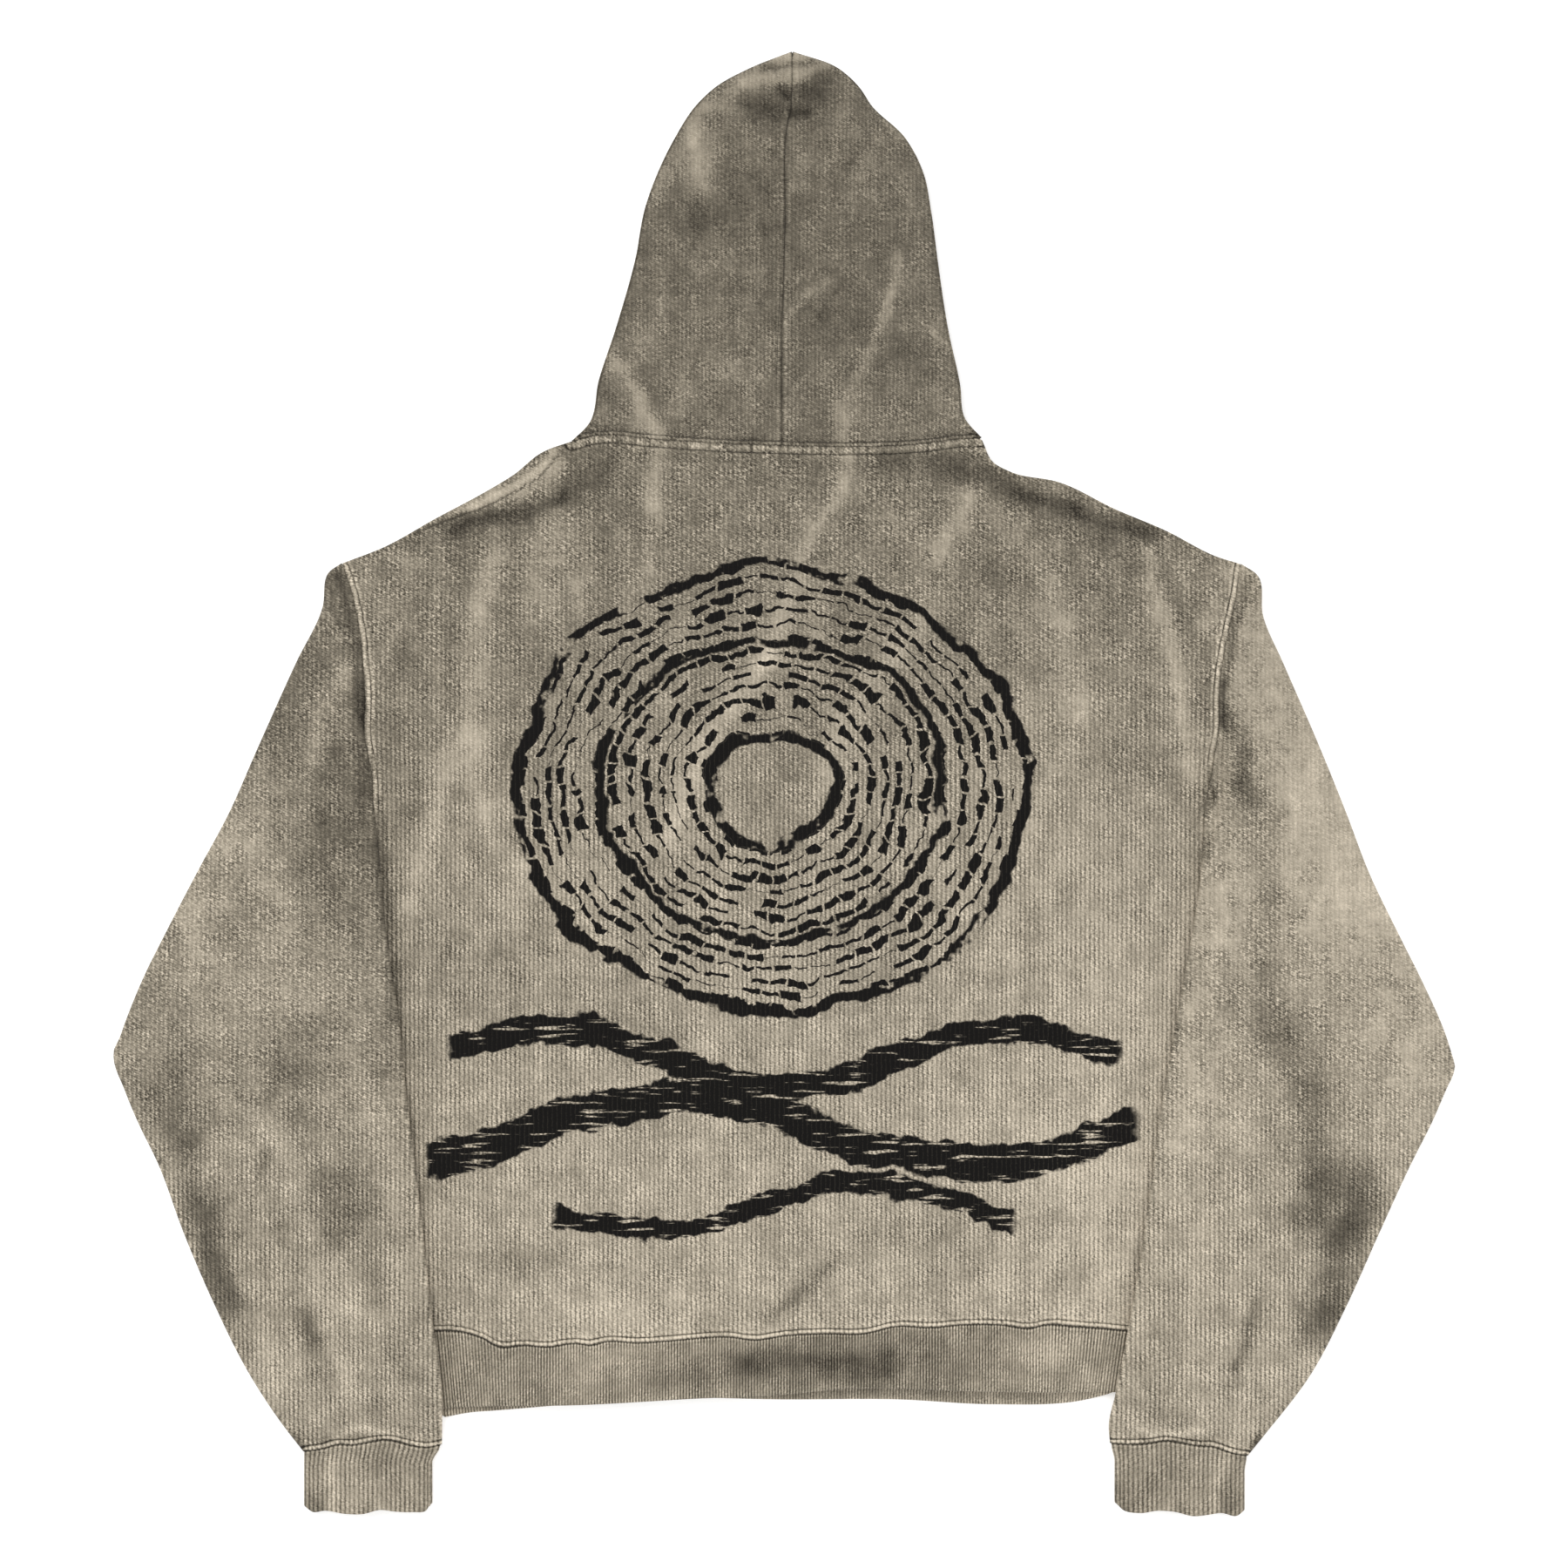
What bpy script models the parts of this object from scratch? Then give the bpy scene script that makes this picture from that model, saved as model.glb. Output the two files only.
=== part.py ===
"""A hooded sweatshirt lying flat on its front, with its back up and its hood towards +Y.

Metres, +Z up. The origin is on the surface that it lies on, under the middle of its outline.
Every panel is a sheet of cloth laid over a curved surface and given its thickness. Panels that are
sewn together meet edge to edge, a seam's gap apart.
"""

import math

import bmesh
import bpy
import numpy as np

MM = 0.001

# Driving dimensions.
FABRIC = 2.2 * MM
HOOD_CLOTH = 2.6 * MM
RIB = 3.0 * MM
SEAM_GAP = 0.65 * MM
FOLD_SEAM_GAP = 0.9 * MM
FRONT_NECK_GAP = 1.8 * MM
EDGE_STACK = 2.5 * MM
BODY_SWELL = 14.0 * MM
SLEEVE_SWELL = 11.0 * MM
HOOD_SWELL = 20.0 * MM
CUFF_SWELL = 8.0 * MM
HEM_SWELL = 10.6 * MM
SWELL_WIDTH = 80.0 * MM
SLEEVE_SWELL_WIDTH = 60.0 * MM
RIB_SWELL_WIDTH = 55.0 * MM
FOLD_RADIUS = 2.2 * MM
FOLD_FLANK = 0.9 * MM
LAYER_GAP = 0.3 * MM
LAYER_ROOM = 2.8 * MM
ARMPIT_ROOM = 1.7 * MM
RIB_FOLD_RADIUS = 1.8 * MM
HOOD_FOLD_RADIUS = 2.9 * MM
SIDE_HOLD = 18.0 * MM
SHOULDER_HOLD = 4.0 * MM
NECK_CORNER_RISE = 3.2 * MM
NECK_CORNER_HOLD = 12.0 * MM
NECK_CORNER_EASE = 35.0 * MM
HEM_HOLD = 15.0 * MM
SLEEVE_LIFT = 7.7 * MM
SLEEVE_LIFT_HOLD = 20.0 * MM
SLEEVE_LIFT_EASE = 20.0 * MM
SLEEVE_LIFT_START, SLEEVE_LIFT_FULL = 0.02, 0.105
SLEEVE_LIFT_END = 0.075
HEM_DROP = 1.9 * MM
HEM_DROP_LENGTH = 60.0 * MM
POCKET_ROOM = 4.9 * MM
POCKET_MARGIN = 28.0 * MM
POCKET_EASE = 40.0 * MM
HEM_LAYER_EASE = 25.0 * MM

# Outlines, in millimetres, each with only the points that its shape needs.
SIDE_LEFT = [
    (-256, -390), (-262, -365), (-273, -320), (-283, -250), (-288, -170), (-289, -100), (-288, -60),
    (-292.5, -22),
]
SIDE_RIGHT = [
    (246, -388), (254, -358), (267, -300), (277, -240), (287, -170), (295, -100), (297, -60),
    (301, -10),
]
ARMHOLE_LEFT = [
    (-292.5, -22), (-296, 8), (-296.5, 34), (-293.5, 61), (-295, 89), (-300.5, 119), (-307, 136),
    (-314.5, 155.5),
]
ARMHOLE_RIGHT = [(301, -10), (304.5, 19), (305.5, 49), (306.5, 82), (309.5, 104), (315, 122), (325, 155)]
SHOULDER_LEFT = [
    (-314.5, 155.5), (-285, 167), (-248, 187.5), (-210, 208), (-192, 219), (-173, 234),
    (-150.5, 242.5),
]
SHOULDER_RIGHT = [
    (140, 245), (148.5, 229), (161, 223.5), (198.5, 216), (236.5, 197.5), (273, 181.5), (310, 162),
    (325, 155),
]
BACK_NECK = [(-150.5, 242.5), (-99, 245), (-61, 241), (-1, 239), (67, 239), (107, 243), (140, 245)]
FRONT_NECK = [
    (-150.5, 242.5), (-128, 206), (-85, 173), (-40, 158), (0, 155), (40, 158), (83, 173), (122, 206),
    (140, 245),
]
HEM_SEAM = [
    (-256, -390), (-207, -389.5), (-140, -395), (-20, -394), (60, -389), (110, -385), (180, -385),
    (246, -388),
]
HEM_BACK_EDGE = [
    (-249, -438), (-225, -443.5), (-137, -441), (-68, -437), (-3, -434), (40, -430), (136, -431.5),
    (236, -434),
]
HEM_FRONT_EDGE = [
    (-249, -441), (-241, -448), (-207, -447), (-137, -441.5), (-68, -438), (-3, -439), (81, -439),
    (150, -442.5), (211, -440), (236, -434),
]
SLEEVE_INNER_LEFT = [
    (-292.5, -22), (-287.5, -62), (-282, -120), (-275.5, -160), (-270, -215), (-261, -292),
    (-250, -391), (-244.5, -434), (-245, -474),
]
SLEEVE_INNER_RIGHT = [
    (301, -10), (296, -72), (281, -160), (267, -246), (261, -292), (246.5, -384), (237, -434),
    (233.5, -460), (237, -474),
]
SLEEVE_OUTER_LEFT = [
    (-314.5, 155.5), (-324.5, 149), (-329, 124), (-346, 86.5), (-374, 24.5), (-396, -25), (-416, -62),
    (-442, -112), (-470, -174), (-476.4, -199), (-468, -223.5), (-445.5, -273), (-427, -323),
    (-406, -372), (-381, -422), (-355.5, -459), (-342, -478),
]
SLEEVE_OUTER_RIGHT = [
    (325, 155), (338, 148.5), (342, 118), (354, 86.5), (381, 24.5), (401, -25), (415, -62),
    (439, -112), (468, -174), (476.4, -203), (471, -223.5), (446, -273), (423, -323), (401, -372),
    (374, -422), (337, -469), (330, -480),
]
CUFF_SEAM_LEFT = [(-245, -474), (-263, -471), (-295, -468), (-322, -471), (-342, -478)]
CUFF_SEAM_RIGHT = [(237, -474), (256, -471), (283, -468), (307, -471), (330, -480)]
CUFF_END_LEFT = [(-249.5, -518), (-295, -518.5), (-340, -518)]
CUFF_END_RIGHT = [(237, -519), (283, -521.1), (328.5, -520)]
HOOD_CENTRE = [(-1.5, 240), (-1.5, 310), (1, 400), (2, 463), (5, 480), (6, 519.85)]
HOOD_LEFT = [
    (-150.5, 242.5), (-138.5, 255), (-132, 285), (-120, 322), (-106, 372), (-99, 409), (-90, 434),
    (-78, 458.5), (-62, 483), (-48, 496), (-26.5, 508), (6, 521.1),
]
HOOD_RIGHT = [
    (140, 245), (127, 258), (122, 285), (115.5, 322), (109.5, 372), (104.5, 409), (99.5, 434),
    (87, 458.5), (62, 483), (53, 496), (40, 508), (6, 521.1),
]
FACE_EDGE_LEFT = [(-6, 155), (-38, 196), (-68, 262), (-80, 330), (-72, 398), (-42, 448), (2, 466)]
FACE_EDGE_RIGHT = [(6, 155), (38, 196), (66, 262), (78, 330), (72, 398), (44, 448), (2, 466)]
CROWN_UNDER = [(6, 519.85), (3, 495), (2, 466)]
POCKET_HALF_WIDTH, POCKET_HALF_TOP = 165.0, 98.0
POCKET_BOTTOM, POCKET_SHOULDER, POCKET_TOP = -384.0, -300.0, -192.0

# Grid steps of the panels.
SHOULDER_STEPS, NECK_STEPS = 5, 10
SIDE_STEPS, ARMHOLE_STEPS = 12, 6
SLEEVE_ACROSS, SLEEVE_ALONG = 13, 18
HOOD_ACROSS, HOOD_ALONG = 8, 13
HEM_ACROSS, HEM_ALONG = 20, 2
CUFF_ACROSS, CUFF_ALONG = 8, 2
LINE_SAMPLES = 60

# Colours of the washed cloth, in sRGB.
WASHED_BACK = (152, 143, 128)
WASHED_FRONT = (160, 151, 136)
WASHED_SLEEVE = (155, 146, 131)
WASHED_HOOD = (122, 115, 102)
WASHED_RIB = (142, 134, 120)


def clear_scene():
    for thing in list(bpy.data.objects):
        bpy.data.objects.remove(thing, do_unlink=True)


def new_collection(name):
    collection = bpy.data.collections.new(name)
    bpy.context.scene.collection.children.link(collection)
    return collection


def linear(channel):
    share = channel / 255.0
    return share / 12.92 if share <= 0.04045 else ((share + 0.055) / 1.055) ** 2.4


def cloth_material(name, colour, roughness=0.95):
    material = bpy.data.materials.new(name)
    material.use_nodes = True
    shader = material.node_tree.nodes["Principled BSDF"]
    shader.inputs["Base Color"].default_value = (*[linear(c) for c in colour], 1.0)
    shader.inputs["Roughness"].default_value = roughness
    shader.inputs["Metallic"].default_value = 0.0
    return material


def clamp(value):
    return min(max(value, 0.0), 1.0)


def rounded(share):
    """Rises quickest at the edge and levels off, from 0 to 1."""
    held = clamp(share)
    return held * (2.0 - held)


def smooth(share):
    held = clamp(share)
    return held * held * (3.0 - 2.0 * held)


def fading(distance, hold, ease):
    """1 up to a distance, then down to 0 over the next stretch."""
    return smooth(1.0 - (distance - hold) / ease)


def spline(points):
    """A smooth line through a few points, as a function of the share of its length."""
    knots = np.array(points, float) * MM
    steps = np.linalg.norm(np.diff(knots, axis=0), axis=1)
    along = np.concatenate([[0.0], np.cumsum(steps)]) / steps.sum()
    slopes = np.gradient(knots, along, axis=0)

    def where(share):
        k = int(np.clip(np.searchsorted(along, share, side="right") - 1, 0, len(along) - 2))
        span = along[k + 1] - along[k]
        t = (share - along[k]) / span
        near = (1 + 2 * t) * (1 - t) ** 2 * knots[k] + t * (1 - t) ** 2 * span * slopes[k]
        far = t * t * (3 - 2 * t) * knots[k + 1] + t * t * (t - 1) * span * slopes[k + 1]
        return near + far

    return where


def straight(start, end):
    return lambda share: start * (1 - share) + end * share


def chained(lines, counts):
    """Lines end to end as one, each taking as many grid steps as counts says."""
    ends = np.concatenate([[0.0], np.cumsum(counts)]) / sum(counts)

    def where(share):
        k = int(np.clip(np.searchsorted(ends, share, side="right") - 1, 0, len(lines) - 1))
        return lines[k]((share - ends[k]) / (ends[k + 1] - ends[k]))

    return where


def beside(line, amount):
    """A line moved sideways, to the left of the way it runs."""
    step = 0.001

    def where(share):
        run = line(min(share + step, 1.0)) - line(max(share - step, 0.0))
        return line(share) + amount * np.array([-run[1], run[0]]) / np.linalg.norm(run)

    return where


def stepped(line, count):
    """A line as straight steps, so that panels sewn along it share its corners whatever their grids."""
    corners = np.array([line(k / count) for k in range(count + 1)])
    stops = np.linspace(0.0, 1.0, count + 1)
    return lambda share: np.array([np.interp(share, stops, corners[:, axis]) for axis in (0, 1)])


def between(line, start, end):
    """A line pulled evenly so that it runs from start to end."""
    return lambda share: line(share) + (1 - share) * (start - line(0.0)) + share * (end - line(1.0))


def patch(bottom, top, left, right):
    """A flat Coons patch between four lines that share their corners."""

    def where(u, v):
        edges = (1 - v) * bottom(u) + v * top(u) + (1 - u) * left(v) + u * right(v)
        low = (1 - u) * bottom(0.0) + u * bottom(1.0)
        high = (1 - u) * top(0.0) + u * top(1.0)
        return edges - (1 - v) * low - v * high

    return where


def distance_to(*lines):
    """How far a point is from the nearest of some lines."""
    samples = np.linspace(0.0, 1.0, LINE_SAMPLES)
    points = [np.array([line(t) for t in samples]) for line in lines]
    start = np.concatenate([run[:-1] for run in points])
    step = np.concatenate([np.diff(run, axis=0) for run in points])
    reach = np.maximum((step**2).sum(axis=1), 1e-12)

    def distance(point):
        share = np.clip(((point - start) * step).sum(axis=1) / reach, 0.0, 1.0)
        return float(np.linalg.norm(point - start - share[:, None] * step, axis=1).min())

    return distance


def sheet(name, across, along, place, thickness, material):
    """One cloth piece: a grid laid over place(u, v), its doubled points merged, then thickened."""
    shape = bmesh.new()
    bmesh.ops.create_grid(shape, x_segments=across, y_segments=along, size=0.5)
    for vert in shape.verts:
        vert.co = place(vert.co.x + 0.5, vert.co.y + 0.5)
    bmesh.ops.remove_doubles(shape, verts=shape.verts, dist=0.02 * MM)
    bmesh.ops.recalc_face_normals(shape, faces=shape.faces)
    mesh = bpy.data.meshes.new(name)
    shape.to_mesh(mesh)
    shape.free()
    mesh.shade_smooth()
    mesh.set_sharp_from_angle(angle=math.radians(40.0))
    piece = bpy.data.objects.new(name, mesh)
    piece.data.materials.append(material)
    garment.objects.link(piece)
    solid = piece.modifiers.new("Thickness", "SOLIDIFY")
    solid.thickness = thickness
    solid.offset = 0.0
    return piece


def back_height(point):
    """The middle of the back's cloth: low at the side and shoulder seams, level over the chest."""
    edge = min(to_sides(point) - SIDE_HOLD, to_shoulders(point) - SHOULDER_HOLD)
    swell = BODY_SWELL - HEM_DROP * fading(to_hem(point), 0.0, HEM_DROP_LENGTH)
    to_corner = min(np.linalg.norm(point - np.array(BACK_NECK[end]) * MM) for end in (0, -1))
    over_hood = NECK_CORNER_RISE * fading(to_corner, NECK_CORNER_HOLD, NECK_CORNER_EASE)
    return FABRIC / 2 + EDGE_STACK + max(over_hood, swell * rounded(edge / SWELL_WIDTH))


def front_height(point):
    """The middle of the front's cloth: on the floor, and lifted where it lies over the pocket."""
    beyond_side = abs(point[0]) - POCKET_HALF_WIDTH * MM
    beyond_top = point[1] - POCKET_TOP * MM
    above_bottom = point[1] - POCKET_BOTTOM * MM
    laid_over = fading(beyond_side, POCKET_MARGIN, POCKET_EASE)
    laid_over *= fading(beyond_top, POCKET_MARGIN, POCKET_EASE)
    opened = fading(beyond_side, POCKET_MARGIN / 2, POCKET_EASE) * smooth(above_bottom / POCKET_EASE)
    opened *= smooth(-beyond_top / POCKET_EASE)
    return FABRIC / 2 + EDGE_STACK * laid_over + (FABRIC + POCKET_ROOM - EDGE_STACK) * opened


def body_panel(name, neck, height, material):
    steps = [SIDE_STEPS, ARMHOLE_STEPS]
    left = chained([spline(SIDE_LEFT), spline(ARMHOLE_LEFT)], steps)
    right = chained([spline(SIDE_RIGHT), spline(ARMHOLE_RIGHT)], steps)
    shoulders = [spline(SHOULDER_LEFT), spline(neck), spline(SHOULDER_RIGHT)]
    top = chained(shoulders, [SHOULDER_STEPS, NECK_STEPS, SHOULDER_STEPS])
    flat = patch(spline(HEM_SEAM), top, left, right)

    def place(u, v):
        point = flat(u, v)
        return (*point, height(point))

    return sheet(name, 2 * SHOULDER_STEPS + NECK_STEPS, sum(steps), place, FABRIC, material)


def tube_turn(u, halves, fold):
    """Where a turn round a flat tube is: its share of the way across, and whether it is on top."""
    turn = 2.0 * u if u <= 0.5 else 2.0 - 2.0 * u
    stops = np.concatenate([[0.0], np.linspace(fold, 1.0 - fold, halves - 1), [1.0]])
    return float(np.interp(turn, np.linspace(0.0, 1.0, halves + 1), stops)), u <= 0.5


def fold_rise(edge, radius):
    """The gap between the middles of two layers, this far in from the fold that joins them."""
    near = clamp(edge / radius)
    return 2.0 * radius * math.sqrt(1.0 - (1.0 - near) ** 2)


def sleeve_layer(name, side, lines, on_top, material):
    """One of a sleeve's two layers, from the armhole to the cuff; they meet along both its folds."""
    armhole, inner, outer, cuff_seam = [spline(line) for line in lines]
    start = stepped(beside(armhole, -side * SEAM_GAP), ARMHOLE_STEPS)
    inner_fold = beside(inner, side * (FABRIC / 2 + SEAM_GAP))
    outer_fold = beside(outer, -side * FABRIC / 2)
    armpit, shoulder_tip = inner_fold(0.0), start(1.0) + np.array([side * FOLD_SEAM_GAP, 0.0])
    start = between(start, armpit, shoulder_tip)
    inner_fold = between(inner_fold, armpit, cuff_seam(0.0))
    outer_fold = between(outer_fold, shoulder_tip, cuff_seam(1.0))
    flat = patch(start, cuff_seam, inner_fold, outer_fold)
    to_inner, to_outer = distance_to(inner_fold), distance_to(outer_fold)

    def place(u, v):
        width = np.linalg.norm(outer_fold(v) - inner_fold(v))
        step = round(u * SLEEVE_ACROSS)
        from_fold = min(step, SLEEVE_ACROSS - step)
        bends = [1, 2, SLEEVE_ACROSS - 2, SLEEVE_ACROSS - 1]
        stops = [0.0, FOLD_RADIUS / width, 1.0 - FOLD_RADIUS / width, 1.0]
        point = flat(float(np.interp(step, bends, stops)), v)
        lift = smooth((v - SLEEVE_LIFT_START) / (SLEEVE_LIFT_FULL - SLEEVE_LIFT_START))
        lift *= smooth((1.0 - v) / SLEEVE_LIFT_END)
        lift *= fading(to_inner(point), SLEEVE_LIFT_HOLD, SLEEVE_LIFT_EASE)
        bottom = FABRIC / 2 + SLEEVE_LIFT * lift
        if from_fold < 2:
            off_middle = FOLD_FLANK if from_fold == 1 else LAYER_GAP / 2
            off_middle = off_middle + ARMPIT_ROOM * fading(v, 0.0, 0.12) if on_top else -off_middle
            return (*point, bottom + FOLD_RADIUS + off_middle)
        if not on_top:
            return (*point, bottom)
        edge = min(to_inner(point), to_outer(point))
        swell = SLEEVE_SWELL + (CUFF_SWELL - SLEEVE_SWELL) * smooth((v - 0.7) / 0.3)
        top = bottom + fold_rise(edge, FOLD_RADIUS) + swell * rounded(edge / SLEEVE_SWELL_WIDTH)
        top += fading(v, 0.0, 0.12) * (back_height(point) - top)
        room = LAYER_GAP + LAYER_ROOM * fading(edge, FOLD_RADIUS, 3 * FOLD_RADIUS)
        return (*point, max(top, bottom + FABRIC + room))

    return sheet(name, SLEEVE_ACROSS, SLEEVE_ALONG, place, FABRIC, material)


def rib_tube(name, seam, upper_end, lower_end, grid, swell, hold, material):
    """A ribbed band, flattened, from its seam to its edge, whose upper layer may be the shorter one."""
    across_steps, along_steps = grid
    width = np.linalg.norm(seam(1.0) - seam(0.0))
    sides = [straight(seam(end), upper_end(end)) for end in (0.0, 1.0)]
    to_fold = distance_to(*sides)

    def place(u, v):
        across, on_top = tube_turn(u, across_steps, RIB_FOLD_RADIUS / width)
        inside = min(across, 1.0 - across) * width
        end = upper_end(across)
        if not on_top:
            end = end + smooth(inside / HEM_LAYER_EASE) * (lower_end(across) - end)
        point = seam(across) * (1 - v) + end * v
        if across in (0.0, 1.0):
            return (*point, RIB / 2 + RIB_FOLD_RADIUS)
        if not on_top:
            return (*point, RIB / 2)
        edge = to_fold(point)
        rise = fold_rise(edge, RIB_FOLD_RADIUS) + swell * rounded((edge - hold) / RIB_SWELL_WIDTH)
        return (*point, RIB / 2 + rise)

    return sheet(name, 2 * across_steps, along_steps, place, RIB, material)


def hem_band(material):
    seam = beside(spline(HEM_SEAM), -SEAM_GAP)
    seam = between(seam, seam(0.0) + np.array([RIB / 2, 0.0]), seam(1.0) - np.array([RIB / 2, 0.0]))
    upper, lower = spline(HEM_BACK_EDGE), spline(HEM_FRONT_EDGE)
    rib_tube("hem_band", seam, upper, lower, (HEM_ACROSS, HEM_ALONG), HEM_SWELL, HEM_HOLD, material)


def cuff(name, side, seam_line, end_line, material):
    seam = beside(spline(seam_line), -side * SEAM_GAP)
    inward = np.array([side * RIB / 2, 0.0])
    seam = between(seam, seam(0.0) + inward, seam(1.0) - inward)
    end = spline(end_line)
    end = between(end, end(0.0) + inward, end(1.0) - inward)
    rib_tube(name, seam, end, end, (CUFF_ACROSS, CUFF_ALONG), CUFF_SWELL, 0.0, material)


def hood_half(name, side, fold_line, face_line, material):
    """Half of the hood: its back from the centre seam to the fold, then under to the face opening."""
    centre, fold = spline(HOOD_CENTRE), beside(spline(fold_line), side * HOOD_CLOTH / 2)
    crown, face = spline(CROWN_UNDER), spline(face_line)
    back_neck = stepped(beside(spline(BACK_NECK), FOLD_SEAM_GAP), NECK_STEPS)
    front_neck = stepped(beside(spline(FRONT_NECK), FRONT_NECK_GAP), NECK_STEPS)
    corner, middle, apex = (1 + side) / 2, 0.5, crown(0.0)

    def upper_neck(share):
        return back_neck(middle + (corner - middle) * share)

    def lower_neck(share):
        return front_neck(corner + (middle - corner) * share)

    upper_sides = between(centre, upper_neck(0.0), apex), between(fold, upper_neck(1.0), apex)
    lower_sides = between(fold, lower_neck(0.0), apex), between(face, lower_neck(1.0), crown(1.0))
    upper = patch(upper_neck, straight(apex, apex), *upper_sides)
    lower = patch(lower_neck, crown, *lower_sides)
    to_fold = distance_to(fold)

    def place(u, v):
        on_top = u <= middle
        share = u / middle if on_top else (u - middle) / (1.0 - middle)
        point = upper(share, v) if on_top else lower(share, v)
        point = point + np.array([side * (SEAM_GAP / 2 + FOLD_SEAM_GAP * smooth((v - 0.7) / 0.3)), 0.0])
        bottom = HOOD_CLOTH / 2
        if u == middle or (on_top and v == 1.0):
            return (*point, bottom + HOOD_FOLD_RADIUS)
        if not on_top:
            return (*point, bottom)
        edge = to_fold(point)
        top = bottom + fold_rise(edge, HOOD_FOLD_RADIUS) + HOOD_SWELL * rounded(edge / SWELL_WIDTH)
        return (*point, top + fading(v, 0.0, 0.18) * (back_height(point) - top))

    return sheet(name, 2 * HOOD_ACROSS, HOOD_ALONG, place, HOOD_CLOTH, material)


def pocket(material):
    """The kangaroo pocket: flat on the floor, open along its two slanted edges."""
    right = [(POCKET_HALF_WIDTH, POCKET_BOTTOM), (POCKET_HALF_WIDTH, POCKET_SHOULDER)]
    right.append((POCKET_HALF_TOP, POCKET_TOP))
    corners = right + [(-x, y) for x, y in reversed(right)]
    outline = bpy.data.curves.new("pocket", "CURVE")
    outline.dimensions = "2D"
    outline.fill_mode = "BOTH"
    outline.extrude = FABRIC / 2
    edge = outline.splines.new("POLY")
    edge.points.add(len(corners) - 1)
    for point, (x, y) in zip(edge.points, corners):
        point.co = (x * MM, y * MM, 0.0, 1.0)
    edge.use_cyclic_u = True
    outline.materials.append(material)
    piece = bpy.data.objects.new("pocket", outline)
    piece.location.z = FABRIC / 2
    garment.objects.link(piece)
    return piece


def main():
    back = cloth_material("washed_knit_back", WASHED_BACK)
    front = cloth_material("washed_knit_front", WASHED_FRONT)
    arm = cloth_material("washed_knit_sleeve", WASHED_SLEEVE)
    hood = cloth_material("washed_knit_hood", WASHED_HOOD)
    rib = cloth_material("washed_rib", WASHED_RIB, roughness=0.9)
    body_panel("back_panel", BACK_NECK, back_height, back)
    body_panel("front_panel", FRONT_NECK, front_height, front)
    left_lines = (ARMHOLE_LEFT, SLEEVE_INNER_LEFT, SLEEVE_OUTER_LEFT, CUFF_SEAM_LEFT)
    right_lines = (ARMHOLE_RIGHT, SLEEVE_INNER_RIGHT, SLEEVE_OUTER_RIGHT, CUFF_SEAM_RIGHT)
    sleeve_layer("sleeve_left_back", -1, left_lines, True, arm)
    sleeve_layer("sleeve_left_front", -1, left_lines, False, arm)
    sleeve_layer("sleeve_right_back", 1, right_lines, True, arm)
    sleeve_layer("sleeve_right_front", 1, right_lines, False, arm)
    hem_band(rib)
    cuff("cuff_left", -1, CUFF_SEAM_LEFT, CUFF_END_LEFT, rib)
    cuff("cuff_right", 1, CUFF_SEAM_RIGHT, CUFF_END_RIGHT, rib)
    hood_half("hood_left", -1, HOOD_LEFT, FACE_EDGE_LEFT, hood)
    hood_half("hood_right", 1, HOOD_RIGHT, FACE_EDGE_RIGHT, hood)
    pocket(front)


to_sides = distance_to(spline(SIDE_LEFT), spline(SIDE_RIGHT))
to_shoulders = distance_to(spline(SHOULDER_LEFT), spline(SHOULDER_RIGHT))
to_hem = distance_to(spline(HEM_SEAM))
clear_scene()
garment = new_collection("hooded_sweatshirt")
main()
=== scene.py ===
"""Looks of a mineral-washed hooded sweatshirt that lies flat on its front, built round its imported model.

Every panel is laid as cloth on the curved surface that its CAD solid has, with its seams, stitches,
ribs and soft undulations added, and stands for that solid.
"""

import functools
import math

import bpy
import numpy as np
from bpy.props import FloatProperty, FloatVectorProperty, IntProperty, PointerProperty
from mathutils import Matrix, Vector


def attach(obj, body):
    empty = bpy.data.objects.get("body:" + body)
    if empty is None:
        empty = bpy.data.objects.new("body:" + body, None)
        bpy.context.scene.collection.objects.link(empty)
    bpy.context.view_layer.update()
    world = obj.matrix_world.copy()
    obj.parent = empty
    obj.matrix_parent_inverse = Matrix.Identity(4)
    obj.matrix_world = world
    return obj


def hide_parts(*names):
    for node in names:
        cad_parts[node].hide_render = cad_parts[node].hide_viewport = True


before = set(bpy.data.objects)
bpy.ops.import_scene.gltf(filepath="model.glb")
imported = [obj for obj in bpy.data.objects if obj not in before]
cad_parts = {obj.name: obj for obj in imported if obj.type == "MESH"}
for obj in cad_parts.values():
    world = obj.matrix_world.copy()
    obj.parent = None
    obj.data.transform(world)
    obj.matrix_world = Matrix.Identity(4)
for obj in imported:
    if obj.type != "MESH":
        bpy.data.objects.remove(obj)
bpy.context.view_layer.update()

bl_info = {
    "name": "Hooded Sweatshirt",
    "version": (1, 0, 0),
    "blender": (4, 5, 0),
    "location": "View3D > Sidebar > Sweatshirt",
    "description": "Builds a washed hooded sweatshirt, laid flat with its back up, panel by panel",
    "category": "Add Mesh",
}

MM = 0.001

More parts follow.
